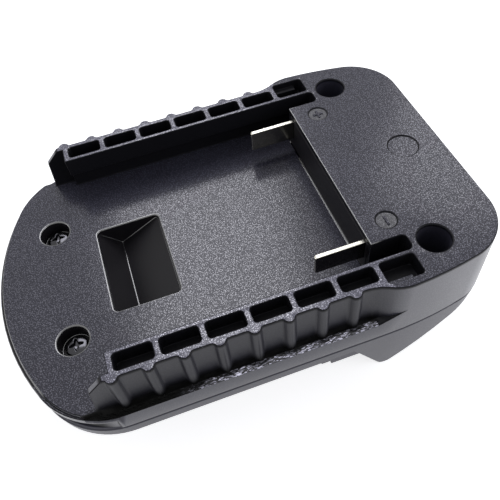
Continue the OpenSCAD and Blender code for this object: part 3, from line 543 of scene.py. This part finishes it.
def grain_group(name):
    """Spark-eroded grain of random cells, by the distance d to the nearest cell's middle and its own value v.

    The height is 1 - d. The sparkle rises from dull by bright (1 - d / reach)^2 to a round peak within the
    reach of each middle. The glint is v^4, so that most cells are dull and a few bright. Along scales the
    cells in X, and draws them out where it is below one.
    """
    group, given, made = new_group(
        name, {"Cells": 3000.0, "Along": 1.0, "Dull": 0.125, "Bright": 1.1}, ("Height", "Sparkle", "Glint"))
    stretch = group.nodes.new("ShaderNodeCombineXYZ")
    set_values(stretch, {"Y": 1.0, "Z": 1.0})
    group.links.new(given.outputs["Along"], stretch.inputs["X"])
    place = group.nodes.new("ShaderNodeVectorMath")
    place.operation = "MULTIPLY"
    group.links.new(object_place(group), place.inputs[0])
    group.links.new(stretch.outputs[0], place.inputs[1])
    cells = group.nodes.new("ShaderNodeTexVoronoi")
    group.links.new(place.outputs[0], cells.inputs["Vector"])
    group.links.new(given.outputs["Cells"], cells.inputs["Scale"])
    distance = cells.outputs["Distance"]
    group.links.new(math_node(group, "SUBTRACT", 1.0, distance), made.inputs["Height"])
    rise = math_node(group, "SUBTRACT", 1.0, math_node(group, "DIVIDE", distance, PEAK_REACH))
    peak = math_node(group, "POWER", math_node(group, "MAXIMUM", rise, 0.0), 2.0)
    sparkle = math_node(group, "MULTIPLY", peak, given.outputs["Bright"])
    group.links.new(math_node(group, "ADD", sparkle, given.outputs["Dull"]), made.inputs["Sparkle"])
    split = group.nodes.new("ShaderNodeSeparateColor")
    group.links.new(cells.outputs["Color"], split.inputs[0])
    group.links.new(math_node(group, "POWER", split.outputs[0], 4.0), made.inputs["Glint"])
    return group


def mottle_group(name):
    """Slow mottling of a surface: a broad noise spread between a low and a high value."""
    group, given, made = new_group(name, {"Cells": 60.0, "Low": 0.9, "High": 1.1}, ["Value"])
    noise = noise_node(group, object_place(group), MOTTLE_DETAIL)
    group.links.new(given.outputs["Cells"], noise.inputs["Scale"])
    group.links.new(spread(group, noise.outputs["Fac"], given), made.inputs["Value"])
    return group


def line_group(name):
    """Drawn lines of sheet metal: a noise stretched along X, as a height and as a roughness."""
    group, given, made = new_group(name, {"Low": 0.2, "High": 0.4}, ("Height", "Roughness"))
    mapping = group.nodes.new("ShaderNodeMapping")
    mapping.inputs["Scale"].default_value = LINE_STRETCH
    group.links.new(object_place(group), mapping.inputs["Vector"])
    noise = noise_node(group, mapping.outputs[0], LINE_DETAIL)
    noise.inputs["Scale"].default_value = LINE_SCALE
    group.links.new(noise.outputs["Fac"], made.inputs["Height"])
    group.links.new(spread(group, noise.outputs["Fac"], given), made.inputs["Roughness"])
    return group


def place_group(tree, name, build, **values):
    """A node of a shared group, which is built at its first use, with its own input values."""
    node = tree.nodes.new("ShaderNodeGroup")
    node.node_tree = bpy.data.node_groups.get(name) or build(name)
    set_values(node, values)
    return node


def scaled_colour(tree, colour, factor):
    """A colour times a factor that changes over the surface."""
    mix = tree.nodes.new("ShaderNodeMix")
    mix.data_type = "RGBA"
    mix.blend_type = "MULTIPLY"
    mix.inputs[0].default_value = 1.0
    if isinstance(colour, bpy.types.NodeSocket):
        tree.links.new(colour, mix.inputs[MIX_A])
    else:
        mix.inputs[MIX_A].default_value = (*colour, 1.0)
    tree.links.new(factor, mix.inputs[MIX_B])
    return mix.outputs[MIX_RESULT]


def blank_material(name):
    """A material with a bare Principled shader, its tree and that shader."""
    material = bpy.data.materials.new(name)
    material.use_nodes = True
    tree = material.node_tree
    return material, tree, tree.nodes["Principled BSDF"]


def bump(tree, shader, height, distance):
    """Feeds the shader's normal with a height."""
    node = tree.nodes.new("ShaderNodeBump")
    set_values(node, {"Distance": distance, "Strength": 1.0})
    tree.links.new(height, node.inputs["Height"])
    tree.links.new(node.outputs["Normal"], shader.inputs["Normal"])


def plastic(name, colour, roughness, relief, speckle, specular=0.5, skin=0.0, glints=False, streak=1.0):
    """A moulded plastic: mottled, speckled colour, grain in its bump and roughness, and a broken glossy skin.

    The relief is a share of the grain's depth. The skin is a coat that the grain's peaks carry and its dips
    lack, so gloss breaks up into sparkle. A streak above one makes the grain finer and draws it out along X.
    With glints, the rare bright cells of the grain paint glints into the colour.
    """
    if name in bpy.data.materials:
        return bpy.data.materials[name]
    material, tree, shader = blank_material(name)
    grain = place_group(tree, "Spark grain", grain_group, Cells=streak * finish().grain, Along=streak ** -2)
    mottle = place_group(tree, "Soft mottle", mottle_group, **MOTTLE)
    sparkle = grain.outputs["Glint" if glints else "Sparkle"]
    speckled = math_node(tree, "MULTIPLY", sparkle, SPECKLE_GAIN * speckle)
    speckled = math_node(tree, "ADD", speckled, max(1 - SPECKLE_LOSS * speckle, LEAST_TINT))
    tint = math_node(tree, "MULTIPLY", speckled, mottle.outputs["Value"])
    tree.links.new(scaled_colour(tree, colour, tint), shader.inputs["Base Color"])
    polish = math_node(tree, "MULTIPLY", sparkle, -PEAK_POLISH)
    tree.links.new(math_node(tree, "ADD", polish, roughness + PEAK_POLISH / 2), shader.inputs["Roughness"])
    set_values(shader, {"Specular IOR Level": specular})
    if skin:
        tree.links.new(math_node(tree, "MULTIPLY", sparkle, skin), shader.inputs["Coat Weight"])
        set_values(shader, {"Coat Roughness": finish().gloss, "Coat IOR": SKIN_IOR})
    bump(tree, shader, grain.outputs["Height"], relief * finish().grain_depth)
    return material


def wall_plastic(name, shaded):
    """A satin wall whose gloss is a coat, with painted shade that takes its colour and coat away under its
    top rim and in the groove round the nose.

    If shaded, painted shade also dims it beside the rails and in their hollow foot.
    """
    if name in bpy.data.materials:
        return bpy.data.materials[name]
    material, tree, shader = blank_material(name)
    grain = place_group(tree, "Spark grain", grain_group, Cells=finish().grain)
    mottle = place_group(tree, "Soft mottle", mottle_group, **MOTTLE)
    # Painted shade under the top rim and in the groove round the nose
    rim = fade(tree, "Z", HEAD_TOP_Z, *RIM_SHADE_FADE)
    groove = math_node(tree, "MULTIPLY", fade(tree, "Z", SHELF_Z, *GROOVE_SHADE_FADE),
                       fade(tree, "X", HEAD_WALL_X, *SEAM_SHADE_FADE))
    shade = math_node(tree, "MULTIPLY", rim, math_node(tree, "SUBTRACT", 1.0, groove))
    # Painted shade beside the rails, deepest in their hollow foot
    if shaded:
        foot = fade(tree, "Z", SHELF_Z, *FOOT_SHADE_FADE)
        hollow = math_node(tree, "ADD", math_node(tree, "MULTIPLY", foot, FOOT_SHADE), BESIDE_SHADE)
        dimming = math_node(tree, "MULTIPLY", fade(tree, "X", HEAD_WALL_X, *BESIDE_SHADE_FADE), hollow)
        shade = math_node(tree, "MULTIPLY", shade, math_node(tree, "SUBTRACT", 1.0, dimming))
    tint = math_node(tree, "MULTIPLY", mottle.outputs["Value"], shade)
    tree.links.new(scaled_colour(tree, finish().upper, tint), shader.inputs["Base Color"])
    gloss = math_node(tree, "MULTIPLY", grain.outputs["Sparkle"], WALL_SPARKLE)
    gloss = math_node(tree, "MULTIPLY", math_node(tree, "ADD", gloss, WALL_GLOSS), shade)
    tree.links.new(gloss, shader.inputs["Coat Weight"])
    set_values(shader, WALL_SHADER)
    bump(tree, shader, grain.outputs["Height"], WALL_RELIEF * finish().grain_depth)
    return material


def metal(name, colour, low, high):
    """A drawn or stamped metal: mottled, with lines along X in its bump and in its roughness, low to high."""
    if name in bpy.data.materials:
        return bpy.data.materials[name]
    material, tree, shader = blank_material(name)
    lines = place_group(tree, "Drawn lines", line_group, Low=low, High=high)
    mottle = place_group(tree, "Soft mottle", mottle_group, **METAL_MOTTLE)
    tree.links.new(scaled_colour(tree, colour, mottle.outputs["Value"]), shader.inputs["Base Color"])
    tree.links.new(lines.outputs["Roughness"], shader.inputs["Roughness"])
    set_values(shader, {"Metallic": 1.0})
    bump(tree, shader, lines.outputs["Height"], LINE_DEPTH)
    return material


def grained_plastic():
    """The spark-eroded top faces."""
    return plastic(
        "grained_black", finish().upper, roughness=0.5, relief=1.0, speckle=1.5, specular=0.12, skin=0.9)


def painted_light_rail_plastic():
    """The grained tops of the rails, painted lighter than the deck to stand in for the light they catch."""
    return plastic(
        "painted_light_rail", finish().rail, roughness=0.5, relief=1.0, speckle=1.5, specular=0.12, skin=1.0)


def satin_shade_plastic():
    """The satin walls of the upper shell, with painted shade under the top rim and in the groove round the
    nose.
    """
    return wall_plastic("satin_shade_black", shaded=False)


def rib_shade_plastic():
    """The satin ribs, with painted shade beside the rails, in their hollow foot and under their top edge."""
    return wall_plastic("satin_rib_shade", shaded=True)


def painted_edge_plastic():
    """The rounded edges, in a dark colour that paints shade lines along them, with a coat that paints
    highlights over the deck and its wall but not along the rails or round the head.
    """
    name = "painted_edge_black"
    if name in bpy.data.materials:
        return bpy.data.materials[name]
    material = plastic(name, finish().edge, roughness=0.3, relief=0.05, speckle=0.1, specular=0.1)
    tree, shader = material.node_tree, material.node_tree.nodes["Principled BSDF"]
    bright = math_node(tree, "MULTIPLY", fade(tree, "Y", 0.0, *EDGE_HIGHLIGHT_FADE_Y, mirrored=True),
                       fade(tree, "X", HEAD_WALL_X, *EDGE_HIGHLIGHT_FADE_X))
    tree.links.new(bright, shader.inputs["Coat Weight"])
    set_values(shader, {"Coat Roughness": EDGE_HIGHLIGHT_COAT, "Coat IOR": SKIN_IOR})
    return material


def frosted_plastic():
    """The frosted round recesses of the polarity marks."""
    return plastic(
        "frosted_black", finish().frosted, roughness=0.4, relief=0.5, speckle=0.9, specular=0.3, skin=1.0)


def lower_plastic():
    """The satin lower shell."""
    return plastic("satin_lower", finish().lower, roughness=0.36, relief=0.12, speckle=0.08)


def painted_shade_plastic():
    """The deep grooves and pockets, the head's front face and the ramp at the shelf's end, in a near-black
    colour that paints the shade in them.
    """
    return plastic("painted_shade_black", finish().dull, roughness=0.42, relief=0.15, speckle=0.2, specular=0.15)


def painted_glint_plastic():
    """The coarse shelf beside the near rail, with painted glints: single streaks of grain painted bright into
    its colour and coat.

    Painted shade keeps them down inside the wavy toe of the ribs, a cosine along X, and more of them are
    painted towards the head.
    """
    name = "painted_glint_black"
    if name in bpy.data.materials:
        return bpy.data.materials[name]
    material = plastic(
        name, finish().shelf, roughness=0.3, relief=1.5, speckle=18.0, specular=0.1, glints=True, streak=1.7)
    tree, shader = material.node_tree, material.node_tree.nodes["Principled BSDF"]
    axes = object_axes(tree)
    along = math_node(tree, "SUBTRACT", axes["X"], HEAD_WALL_X + RIB_X0)
    wave = math_node(tree, "COSINE", math_node(tree, "MULTIPLY", along, 2 * math.pi / RIB_PITCH))
    toe = math_node(tree, "ADD", math_node(tree, "MULTIPLY", wave, TOE_SWING), RAIL_OUT + FOOT_R)
    past = math_node(tree, "SUBTRACT", math_node(tree, "ABSOLUTE", axes["Y"]), toe)
    lit = tree.nodes.new("ShaderNodeMapRange")
    set_values(lit, {"From Max": TOE_WIDTH, "To Min": TOE_LEFT})
    tree.links.new(past, lit.inputs["Value"])
    painted_glint_shine = math_node(tree, "MULTIPLY", lit.outputs["Result"], fade(tree, "X", HEAD_WALL_X, *PAINTED_GLINT_FADE))
    colour = shader.inputs["Base Color"].links[0].from_socket
    tree.links.new(scaled_colour(tree, colour, painted_glint_shine), shader.inputs["Base Color"])
    tree.links.new(painted_glint_shine, shader.inputs["Coat Weight"])
    set_values(shader, {"Coat Roughness": SHELF_GLINT_COAT})
    return material


def sunk_shade_plastic():
    """The smooth latch pocket and the deck's bores, in a near-black colour that paints the shade in these
    recesses.
    """
    return plastic(
        "sunk_shade_black", finish().sunk_shade, roughness=0.36, relief=0.03, speckle=0.05, specular=0.2)


def inner_plastic():
    """The plain inner mouldings."""
    return plastic("inner_black", finish().inner, roughness=0.4, relief=0.1, speckle=0.06, specular=0.25)


def latch_plastic():
    """The satin release latch."""
    return plastic("latch_black", finish().inner, roughness=0.36, relief=0.2, speckle=0.1)


def lead_silicone(slot, colour):
    """The smooth insulation of a lead."""
    return plastic(slot + "_silicone", colour, roughness=0.4, relief=0.05, speckle=0.05)


def blade_metal():
    """The bright sheared edges of the plated blades."""
    return metal("plated_blade", finish().blade, low=0.16, high=0.3)


def blade_face_shade_metal():
    """The blades' faces: a darker copy of their plated metal that paints the shade on them."""
    return metal("painted_shade_blade", finish().painted_dark, low=0.1, high=0.2)


def clip_metal():
    """The spring brass clips."""
    return metal("brass_clip", finish().clip, low=0.2, high=0.4)


def screw_steel():
    """The zinc-plated inner screws."""
    return metal("zinc_screw", finish().steel, low=0.22, high=0.42)


def dark_steel():
    """The blackened housing screws."""
    return metal("black_screw", finish().dark_steel, low=0.1, high=0.22)


def spring_steel():
    """The drawn spring wire."""
    return metal("spring_wire", finish().steel, low=0.18, high=0.34)


# Pieces


class ADAPTER_OT_shells(bpy.types.Operator):
    """Softened upper and lower shells with grained tops and satin walls, painted shade in recesses and rib
    feet, and painted light on rail tops, shelf and edges
    """

    bl_idname = "adapter.shells"
    bl_label = "Shells"

    def execute(self, context):
        s = sizes()
        upper = softened(
            "upper_shell", "upper_shell_moulding", grained_plastic(), s.edge,
            painted_edge_plastic(), s.rim_edge, self.at_foot, self.at_rim)
        softened("lower_shell", "lower_shell_moulding", lower_plastic(), s.seam_edge)
        for material in (satin_shade_plastic(), sunk_shade_plastic(), painted_shade_plastic(), painted_glint_plastic(),
                         rib_shade_plastic(), frosted_plastic(), painted_light_rail_plastic()):
            upper.data.materials.append(material)
        upper.data.polygons.foreach_set("material_index", self.finishes(upper.data))
        return {"FINISHED"}

    def at_foot(self, place):
        """Whether a point is on the hollow foot beside a rail."""
        return abs(place.y) > RAIL_OUT - TOUCH and -TOUCH < place.z - SHELF_Z < FOOT_R + TOUCH

    def at_rim(self, place):
        """Whether a point is on the rim of a bore, of the latch pocket or of a rail's lip."""
        x, y = place.x - HEAD_WALL_X, abs(place.y)
        if abs(place.z - HEAD_TOP_Z) < CLOSE:
            at_lip = abs(y - LIP_HALF) < CLOSE and x < 0
            return at_lip or math.hypot(x - HEAD_BORE_X, y - HEAD_BORE_Y) < HEAD_BORE_R + CLOSE
        if abs(place.z - DECK_Z) < CLOSE:
            at_catch = CATCH_X0 - CLOSE < x < CATCH_X1 + CLOSE and y < CATCH_HALF + CLOSE
            return at_catch or math.hypot(x - DECK_BORE_X, y - DECK_BORE_Y) < DECK_BORE_R + CLOSE
        return False

    def finishes(self, mesh):
        """Finish slot of each face, told by its place and by the way it faces."""
        centre, normal = face_arrays(mesh)
        x, y, z = centre[:, 0] - HEAD_WALL_X, np.abs(centre[:, 1]), centre[:, 2]
        ahead, up = normal[:, 0], normal[:, 2]
        level = up > LEVEL
        near_side = centre[:, 1] < 0
        beside = y > RAIL_OUT - NEAR
        below_top = (z < HEAD_TOP_Z - NEAR) & (x < HEAD_BORE_X + HEAD_BORE_R + MM)
        in_rail = below_top & (x < SLOT_END)
        cored = (y < POCKET_OUT + NEAR) | ((x > -MM) & (y < LAST_POCKET_OUT + NEAR))
        pocket = in_rail & cored & (y > POCKET_IN - NEAR) & (z > HEAD_TOP_Z - POCKET_DEPTH - MM)
        # Only the near last pocket's step floor keeps its grain; the far one takes painted shadow
        step = pocket & level & near_side & (z > HEAD_TOP_Z - STEP_DEPTH - NEAR)
        groove = in_rail & (z > DECK_Z + NEAR) & (y > SLOT_IN - NEAR) & (y < POCKET_OUT)
        front = (ahead < -LEVEL) & (np.abs(x) < MM) & (z > DECK_Z + NEAR)
        bore = below_top & (np.hypot(x - HEAD_BORE_X, y - HEAD_BORE_Y) < HEAD_BORE_R + NEAR)
        hollow = (up > FOOT_TURN[0]) & (up < FOOT_TURN[1])
        foot = beside & hollow & (z > SHELF_Z - NEAR) & (z < SHELF_Z + FOOT_R)
        rib = beside & (up < LEVEL) & (z > SHELF_Z) & (x < RIB_END)
        ramp = beside & level & (ahead < -LEANING) & (z > SHELF_Z - NEAR)
        # Painted glints only on the near shelf; the far one stays grained
        shelf = level & near_side & (y > RAIL_OUT) & (np.abs(z - SHELF_Z) < NEAR)
        sunk = (z < DECK_Z - NEAR) & (y < SUNK_HALF) & (x < SUNK_END)
        mark = level & (np.abs(z - HEAD_TOP_Z + sizes().mark_depth) < CLOSE) & (
            np.hypot(x - sizes().mark_x, y - sizes().mark_y) < MARK_R)
        rail = level & (y > LIP_HALF) & (z > HEAD_TOP_Z - CLOSE) & (x < 0)
        slot = np.where(up < LEVEL, SATIN_SHADE, GRAINED)
        # The ribs and their foot take the wall with painted shade
        slot[rib | foot] = RIB_SHADE
        # Painted shade in the pockets, the grooves under the lips and the head's front face
        slot[(pocket & ~step) | groove | front] = PAINTED_SHADE
        slot[bore] = SATIN_SHADE
        # Painted shade on the ramp at the shelf's end
        slot[ramp] = PAINTED_SHADE
        # Painted shade in the sunk latch pocket and the deck's bores
        slot[sunk] = SUNK_SHADE
        slot[shelf] = PAINTED_GLINT
        slot[mark] = FROSTED
        # Painted light on the rails' tops
        slot[rail] = RAIL_LIGHT
        return slot.astype(np.int32)


class ADAPTER_OT_terminals(bpy.types.Operator):
    """Blade carrier, blades, clip holder and contact clips"""

    bl_idname = "adapter.terminals"
    bl_label = "Terminals"
    fillet_gap = 0.2 * MM
    fillet_steps = 7
    sunk_back, sunk_down = 0.05 * MM, 0.03 * MM

    def execute(self, context):
        s = sizes()
        softened("blade_carrier", "blade_carrier_moulding", inner_plastic(), s.seam_edge)
        softened("clip_holder", "clip_holder_moulding", inner_plastic(), s.fine_edge)
        for pole in ("positive", "negative"):
            blade = softened(
                "blade_" + pole, "blade_%s_stamping" % pole, blade_metal(), s.fine_edge)
            self.square_tip(blade.data)
            # The faces take the darker copy with painted shade; the sheared edges keep the metal's colour
            blade.data.materials.append(blade_face_shade_metal())
            painted_dark = np.abs(face_arrays(blade.data)[1][:, 1]) > LEVEL
            blade.data.polygons.foreach_set("material_index", painted_dark.astype(np.int32))
            softened("clip_" + pole, "clip_%s_stamping" % pole, clip_metal(), s.fine_edge)
        self.fillet(s.fillet_r)
        return {"FINISHED"}

    def square_tip(self, mesh):
        """Draws a blade's tapered tip out to the blunt one of the stamping, by a stretch of its lead-in."""
        place = np.empty(len(mesh.vertices) * 3)
        mesh.vertices.foreach_get("co", place)
        place = place.reshape(-1, 3)
        run = place[:, 0] - place[:, 0].min()
        lead = run < TIP_END
        low_z, high_z = place[lead, 2].min(), place[lead, 2].max()
        height = place[lead, 2] - (low_z + high_z) / 2
        drop = (high_z - low_z) / 2 - np.abs(height)
        place[lead, 2] += np.sign(height) * (1 - TIP_DROP) * drop
        place[lead, 0] += np.interp(run[lead], TIP_LEAD, TIP_BLUNT) - run[lead]
        mesh.vertices.foreach_set("co", place.ravel())
        mesh.update()

    def fillet(self, radius):
        """A hollow quarter round along the carrier's foot: x = r sin t - r, z = r - r cos t."""
        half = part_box("blade_positive")[0].y - self.fillet_gap
        turn = np.linspace(0, np.pi / 2, self.fillet_steps)
        hollow = radius * np.column_stack([np.sin(turn) - 1, 1 - np.cos(turn)])
        back = [[self.sunk_back, radius], [self.sunk_back, -self.sunk_down], [-radius, -self.sunk_down]]
        bar = prism(np.concatenate([back, hollow]), 2 * half)[..., [0, 2, 1]]
        mesh = grid_mesh(
            "carrier_fillet", [bar + np.array([HEAD_WALL_X, -half, DECK_Z])], wrap=True, soft=False)
        # The fillet takes the painted edge material, which paints a bright line along the wall's foot
        new_piece("carrier_fillet", mesh, body_of("blade_carrier"), painted_edge_plastic())


class ADAPTER_OT_screws(bpy.types.Operator):
    """Cross-recessed, threaded screws in place of the plain ones"""

    bl_idname = "adapter.screws"
    bl_label = "Screws"
    head_h = 1.8 * MM
    shank_r = 1.4 * MM

    def execute(self, context):
        for node in ("deck_screws", "head_screws", "bridge_screws", "holder_screws", "carrier_screws"):
            low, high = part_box(node)
            head_r = (high.x - low.x) / 2
            shape = screw_surface(head_r, self.head_h, self.shank_r, high.z - low.z - self.head_h)
            upside_down = node == "carrier_screws"
            if upside_down:
                shape = shape * np.array([1, -1, -1])
            seat = low.z + self.head_h if upside_down else high.z - self.head_h
            x, y = (low.x + high.x) / 2, high.y - head_r
            grids = [shape + np.array([x, side * y, seat]) for side in (-1, 1)]
            mesh = grid_mesh(node + "_turned", grids, wrap=True)
            housing = node in ("deck_screws", "head_screws")
            steel, slot = (dark_steel(), "screw_black") if housing else (screw_steel(), "screw_steel")
            new_piece(node + "_turned", mesh, body_of(node), steel, [node])
        return {"FINISHED"}


class ADAPTER_OT_latch(bpy.types.Operator):
    """Release latch, its two wound springs and the bridge that backs them"""

    bl_idname = "adapter.latch"
    bl_label = "Latch"
    turns = 6
    turn_steps = 24
    end_ease = 0.06
    wire_r = 0.3 * MM
    wire_sides = 10

    def execute(self, context):
        softened("release_latch", "release_latch_moulding", latch_plastic(), sizes().edge)
        softened("latch_bridge", "latch_bridge_moulding", inner_plastic(), sizes().fine_edge)
        for node in ("latch_spring_near", "latch_spring_far"):
            self.spring(node)
        return {"FINISHED"}

    def spring(self, node):
        """A circle carried along a helix, whose height eases in and out so that the end turns close."""
        low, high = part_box(node)
        radius = (high.x - low.x) / 2 - self.wire_r
        turn = np.linspace(0, self.turns, self.turn_steps * self.turns + 1)
        share = turn / self.turns
        climb = share - self.end_ease * np.sin(2 * np.pi * share)
        z = low.z + self.wire_r + climb * (high.z - low.z - 2 * self.wire_r)
        angle = 2 * np.pi * turn
        centre = [(low.x + high.x) / 2, (low.y + high.y) / 2]
        path = np.column_stack([centre[0] + radius * np.cos(angle), centre[1] + radius * np.sin(angle), z])
        wire = tube(path, self.wire_r, self.wire_sides, (0, 0, 1))
        mesh = grid_mesh(node + "_wire", [wire], wrap=True)
        piece = new_piece(node + "_wire", mesh, "casing", spring_steel(), [node])
        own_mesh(piece)


class ADAPTER_OT_leads(bpy.types.Operator):
    """Insulated leads from the blades round the back of the head to the clips"""

    bl_idname = "adapter.leads"
    bl_label = "Leads"

    def execute(self, context):
        for node, slot, colour in (("lead_positive", "lead_red", finish().lead_red),
                                   ("lead_negative", "lead_black", finish().lead_black)):
            name = node + "_insulation"
            mesh = solid_copy(node, name)
            piece = new_piece(name, mesh, body_of(node), lead_silicone(slot, colour), [node])
            rounded = piece.modifiers.new("Round", "SUBSURF")
            rounded.levels = 2
            rounded.render_levels = 2
        return {"FINISHED"}


class ADAPTER_OT_marks(bpy.types.Operator):
    """Raised plus and minus signs in the round recesses beside the blades"""

    bl_idname = "adapter.marks"
    bl_label = "Polarity marks"
    height_share = 0.8

    def execute(self, context):
        s = sizes()
        long, bar = s.mark_reach, s.mark_bar
        corner = np.array([[long, -bar], [long, bar], [bar, bar]])
        quarter = np.array([[0, -1], [1, 0]])
        plus = np.concatenate([corner @ np.linalg.matrix_power(quarter.T, k) for k in range(4)])
        minus = np.array([[bar, -long], [bar, long], [-bar, long], [-bar, -long]])
        floor_z = HEAD_TOP_Z - s.mark_depth
        for name, outline, side in (("plus_mark", plus, 1), ("minus_mark", minus, -1)):
            place = np.array([HEAD_WALL_X + s.mark_x, side * s.mark_y, floor_z])
            sign = prism(outline, self.height_share * s.mark_depth) + place
            mesh = grid_mesh(name, [sign], wrap=True, soft=False)
            new_piece(name, mesh, "casing", grained_plastic())
        return {"FINISHED"}


class ADAPTER_OT_stage(bpy.types.Operator):
    """White floor, surroundings, soft boxes and the camera"""

    bl_idname = "adapter.stage"
    bl_label = "Studio"

    def execute(self, context):
        s = studio()
        context.scene.view_settings.view_transform = "Standard"
        self.camera(context)
        self.floor()
        self.world(context)
        for name, power, width, height, place in (
                ("key_box", s.key, 0.22, 0.38, (0.035, 0.34, 0.52)),
                ("back_box", s.back, 0.16, 0.24, (0.36, 0.33, 0.40)),
                ("side_box", s.side, 0.30, 0.30, (0.42, -0.30, 0.24)),
                ("left_strip", s.strip, 0.10, 0.50, (-0.50, 0.20, 0.22))):
            self.soft_box(name, power, width, height, Vector(place))
        return {"FINISHED"}

    def camera(self, context):
        """A camera that looks from the eye to the target, turned about its view by the roll."""
        s = studio()
        data = bpy.data.cameras.new("camera")
        data.sensor_width = SENSOR_WIDTH
        data.lens = s.lens
        data.shift_x, data.shift_y = s.shift
        data.clip_start, data.clip_end = CLIP_START, CLIP_END
        camera = bpy.data.objects.new("camera", data)
        context.scene.collection.objects.link(camera)
        camera.matrix_world = aimed(Vector(s.eye), Vector(s.target)) @ Matrix.Rotation(s.roll, 4, "Z")
        context.scene.camera = camera

    def floor(self):
        """A wide disc under the part, white to the camera and grey only in the part's shadow."""
        angle = np.linspace(0, 2 * np.pi, FLOOR_SIDES, endpoint=False)[None]
        radius = np.array(FLOOR_RADII)[:, None]
        disc = np.stack(
            [radius * np.cos(angle), radius * np.sin(angle), np.zeros_like(radius * angle)], axis=-1)
        floor = bpy.data.objects.new("floor", grid_mesh("floor", [disc], wrap=True))
        bpy.context.scene.collection.objects.link(floor)
        material, tree, shader = blank_material("white_floor")
        set_values(shader, FLOOR_SHADER)
        glow = tree.nodes.new("ShaderNodeEmission")
        set_values(glow, {"Strength": FLOOR_GLOW})
        both = tree.nodes.new("ShaderNodeAddShader")
        tree.links.new(shader.outputs[0], both.inputs[0])
        tree.links.new(glow.outputs[0], both.inputs[1])
        choose_seen(tree, shader, both, tree.nodes["Material Output"])
        floor.data.materials.append(material)

    def world(self, context):
        """White to the camera, to gloss and to glass, and a soft ambient light on everything else."""
        world = bpy.data.worlds.new("white_surroundings")
        world.use_nodes = True
        tree = world.node_tree
        seen = tree.nodes["Background"]
        set_values(seen, {"Strength": 1.0, "Color": WHITE})
        light = tree.nodes.new("ShaderNodeBackground")
        set_values(light, {"Strength": studio().ambient, "Color": SKY_COLOUR})
        choose_seen(tree, light, seen, tree.nodes["World Output"])
        context.scene.world = world

    def soft_box(self, name, power, width, height, place):
        """A rectangular soft box that faces the middle of the part."""
        data = bpy.data.lights.new(name, "AREA")
        data.shape = "RECTANGLE"
        data.size = width
        data.size_y = height
        data.energy = power
        data.color = LAMP_COLOUR
        lamp = bpy.data.objects.new(name, data)
        bpy.context.scene.collection.objects.link(lamp)
        lamp.matrix_world = aimed(place, Vector((0, 0, DECK_Z)))


def aimed(place, target):
    """A matrix that stands at a place and looks at a target, with its top up."""
    return Matrix.Translation(place) @ (target - place).to_track_quat("-Z", "Y").to_matrix().to_4x4()


def choose_seen(tree, lit, seen, output):
    """Shows the seen shader to rays from the camera, gloss or glass, and the lit one to all others."""
    path = tree.nodes.new("ShaderNodeLightPath")
    shown = math_node(tree, "MAXIMUM", path.outputs["Is Camera Ray"], path.outputs["Is Glossy Ray"])
    shown = math_node(tree, "MAXIMUM", shown, path.outputs["Is Transmission Ray"])
    choice = tree.nodes.new("ShaderNodeMixShader")
    tree.links.new(shown, choice.inputs[0])
    tree.links.new(lit.outputs[0], choice.inputs[1])
    tree.links.new(seen.outputs[0], choice.inputs[2])
    tree.links.new(choice.outputs[0], output.inputs["Surface"])


class ADAPTER_PT_panel(bpy.types.Panel):
    """The adapter's pieces, sizes, finishes and studio"""

    bl_idname = "ADAPTER_PT_panel"
    bl_label = "Battery adapter"
    bl_space_type = "VIEW_3D"
    bl_region_type = "UI"
    bl_category = "Adapter"

    def draw(self, context):
        for operator in OPERATORS:
            self.layout.operator(operator.bl_idname)
        for group in (sizes(), finish(), studio()):
            box = self.layout.box()
            for name in group.__annotations__:
                box.prop(group, name)


OPERATORS = (ADAPTER_OT_shells, ADAPTER_OT_terminals, ADAPTER_OT_screws, ADAPTER_OT_latch, ADAPTER_OT_leads,
             ADAPTER_OT_marks, ADAPTER_OT_stage)
CLASSES = (AdapterSizes, AdapterFinish, AdapterStudio, *OPERATORS, ADAPTER_PT_panel)


def register():
    """Registers the classes and hangs the properties on the scene."""
    for cls in CLASSES:
        bpy.utils.register_class(cls)
    bpy.types.Scene.adapter_sizes = PointerProperty(type=AdapterSizes)
    bpy.types.Scene.adapter_finish = PointerProperty(type=AdapterFinish)
    bpy.types.Scene.adapter_studio = PointerProperty(type=AdapterStudio)


def unregister():
    """Takes the properties and the classes away again."""
    del bpy.types.Scene.adapter_studio
    del bpy.types.Scene.adapter_finish
    del bpy.types.Scene.adapter_sizes
    for cls in reversed(CLASSES):
        bpy.utils.unregister_class(cls)


def main():
    """Builds every piece in order."""
    register()
    bpy.ops.adapter.stage()
    bpy.ops.adapter.shells()
    bpy.ops.adapter.terminals()
    bpy.ops.adapter.screws()
    bpy.ops.adapter.latch()
    bpy.ops.adapter.leads()
    bpy.ops.adapter.marks()


if __name__ == "__main__":
    main()
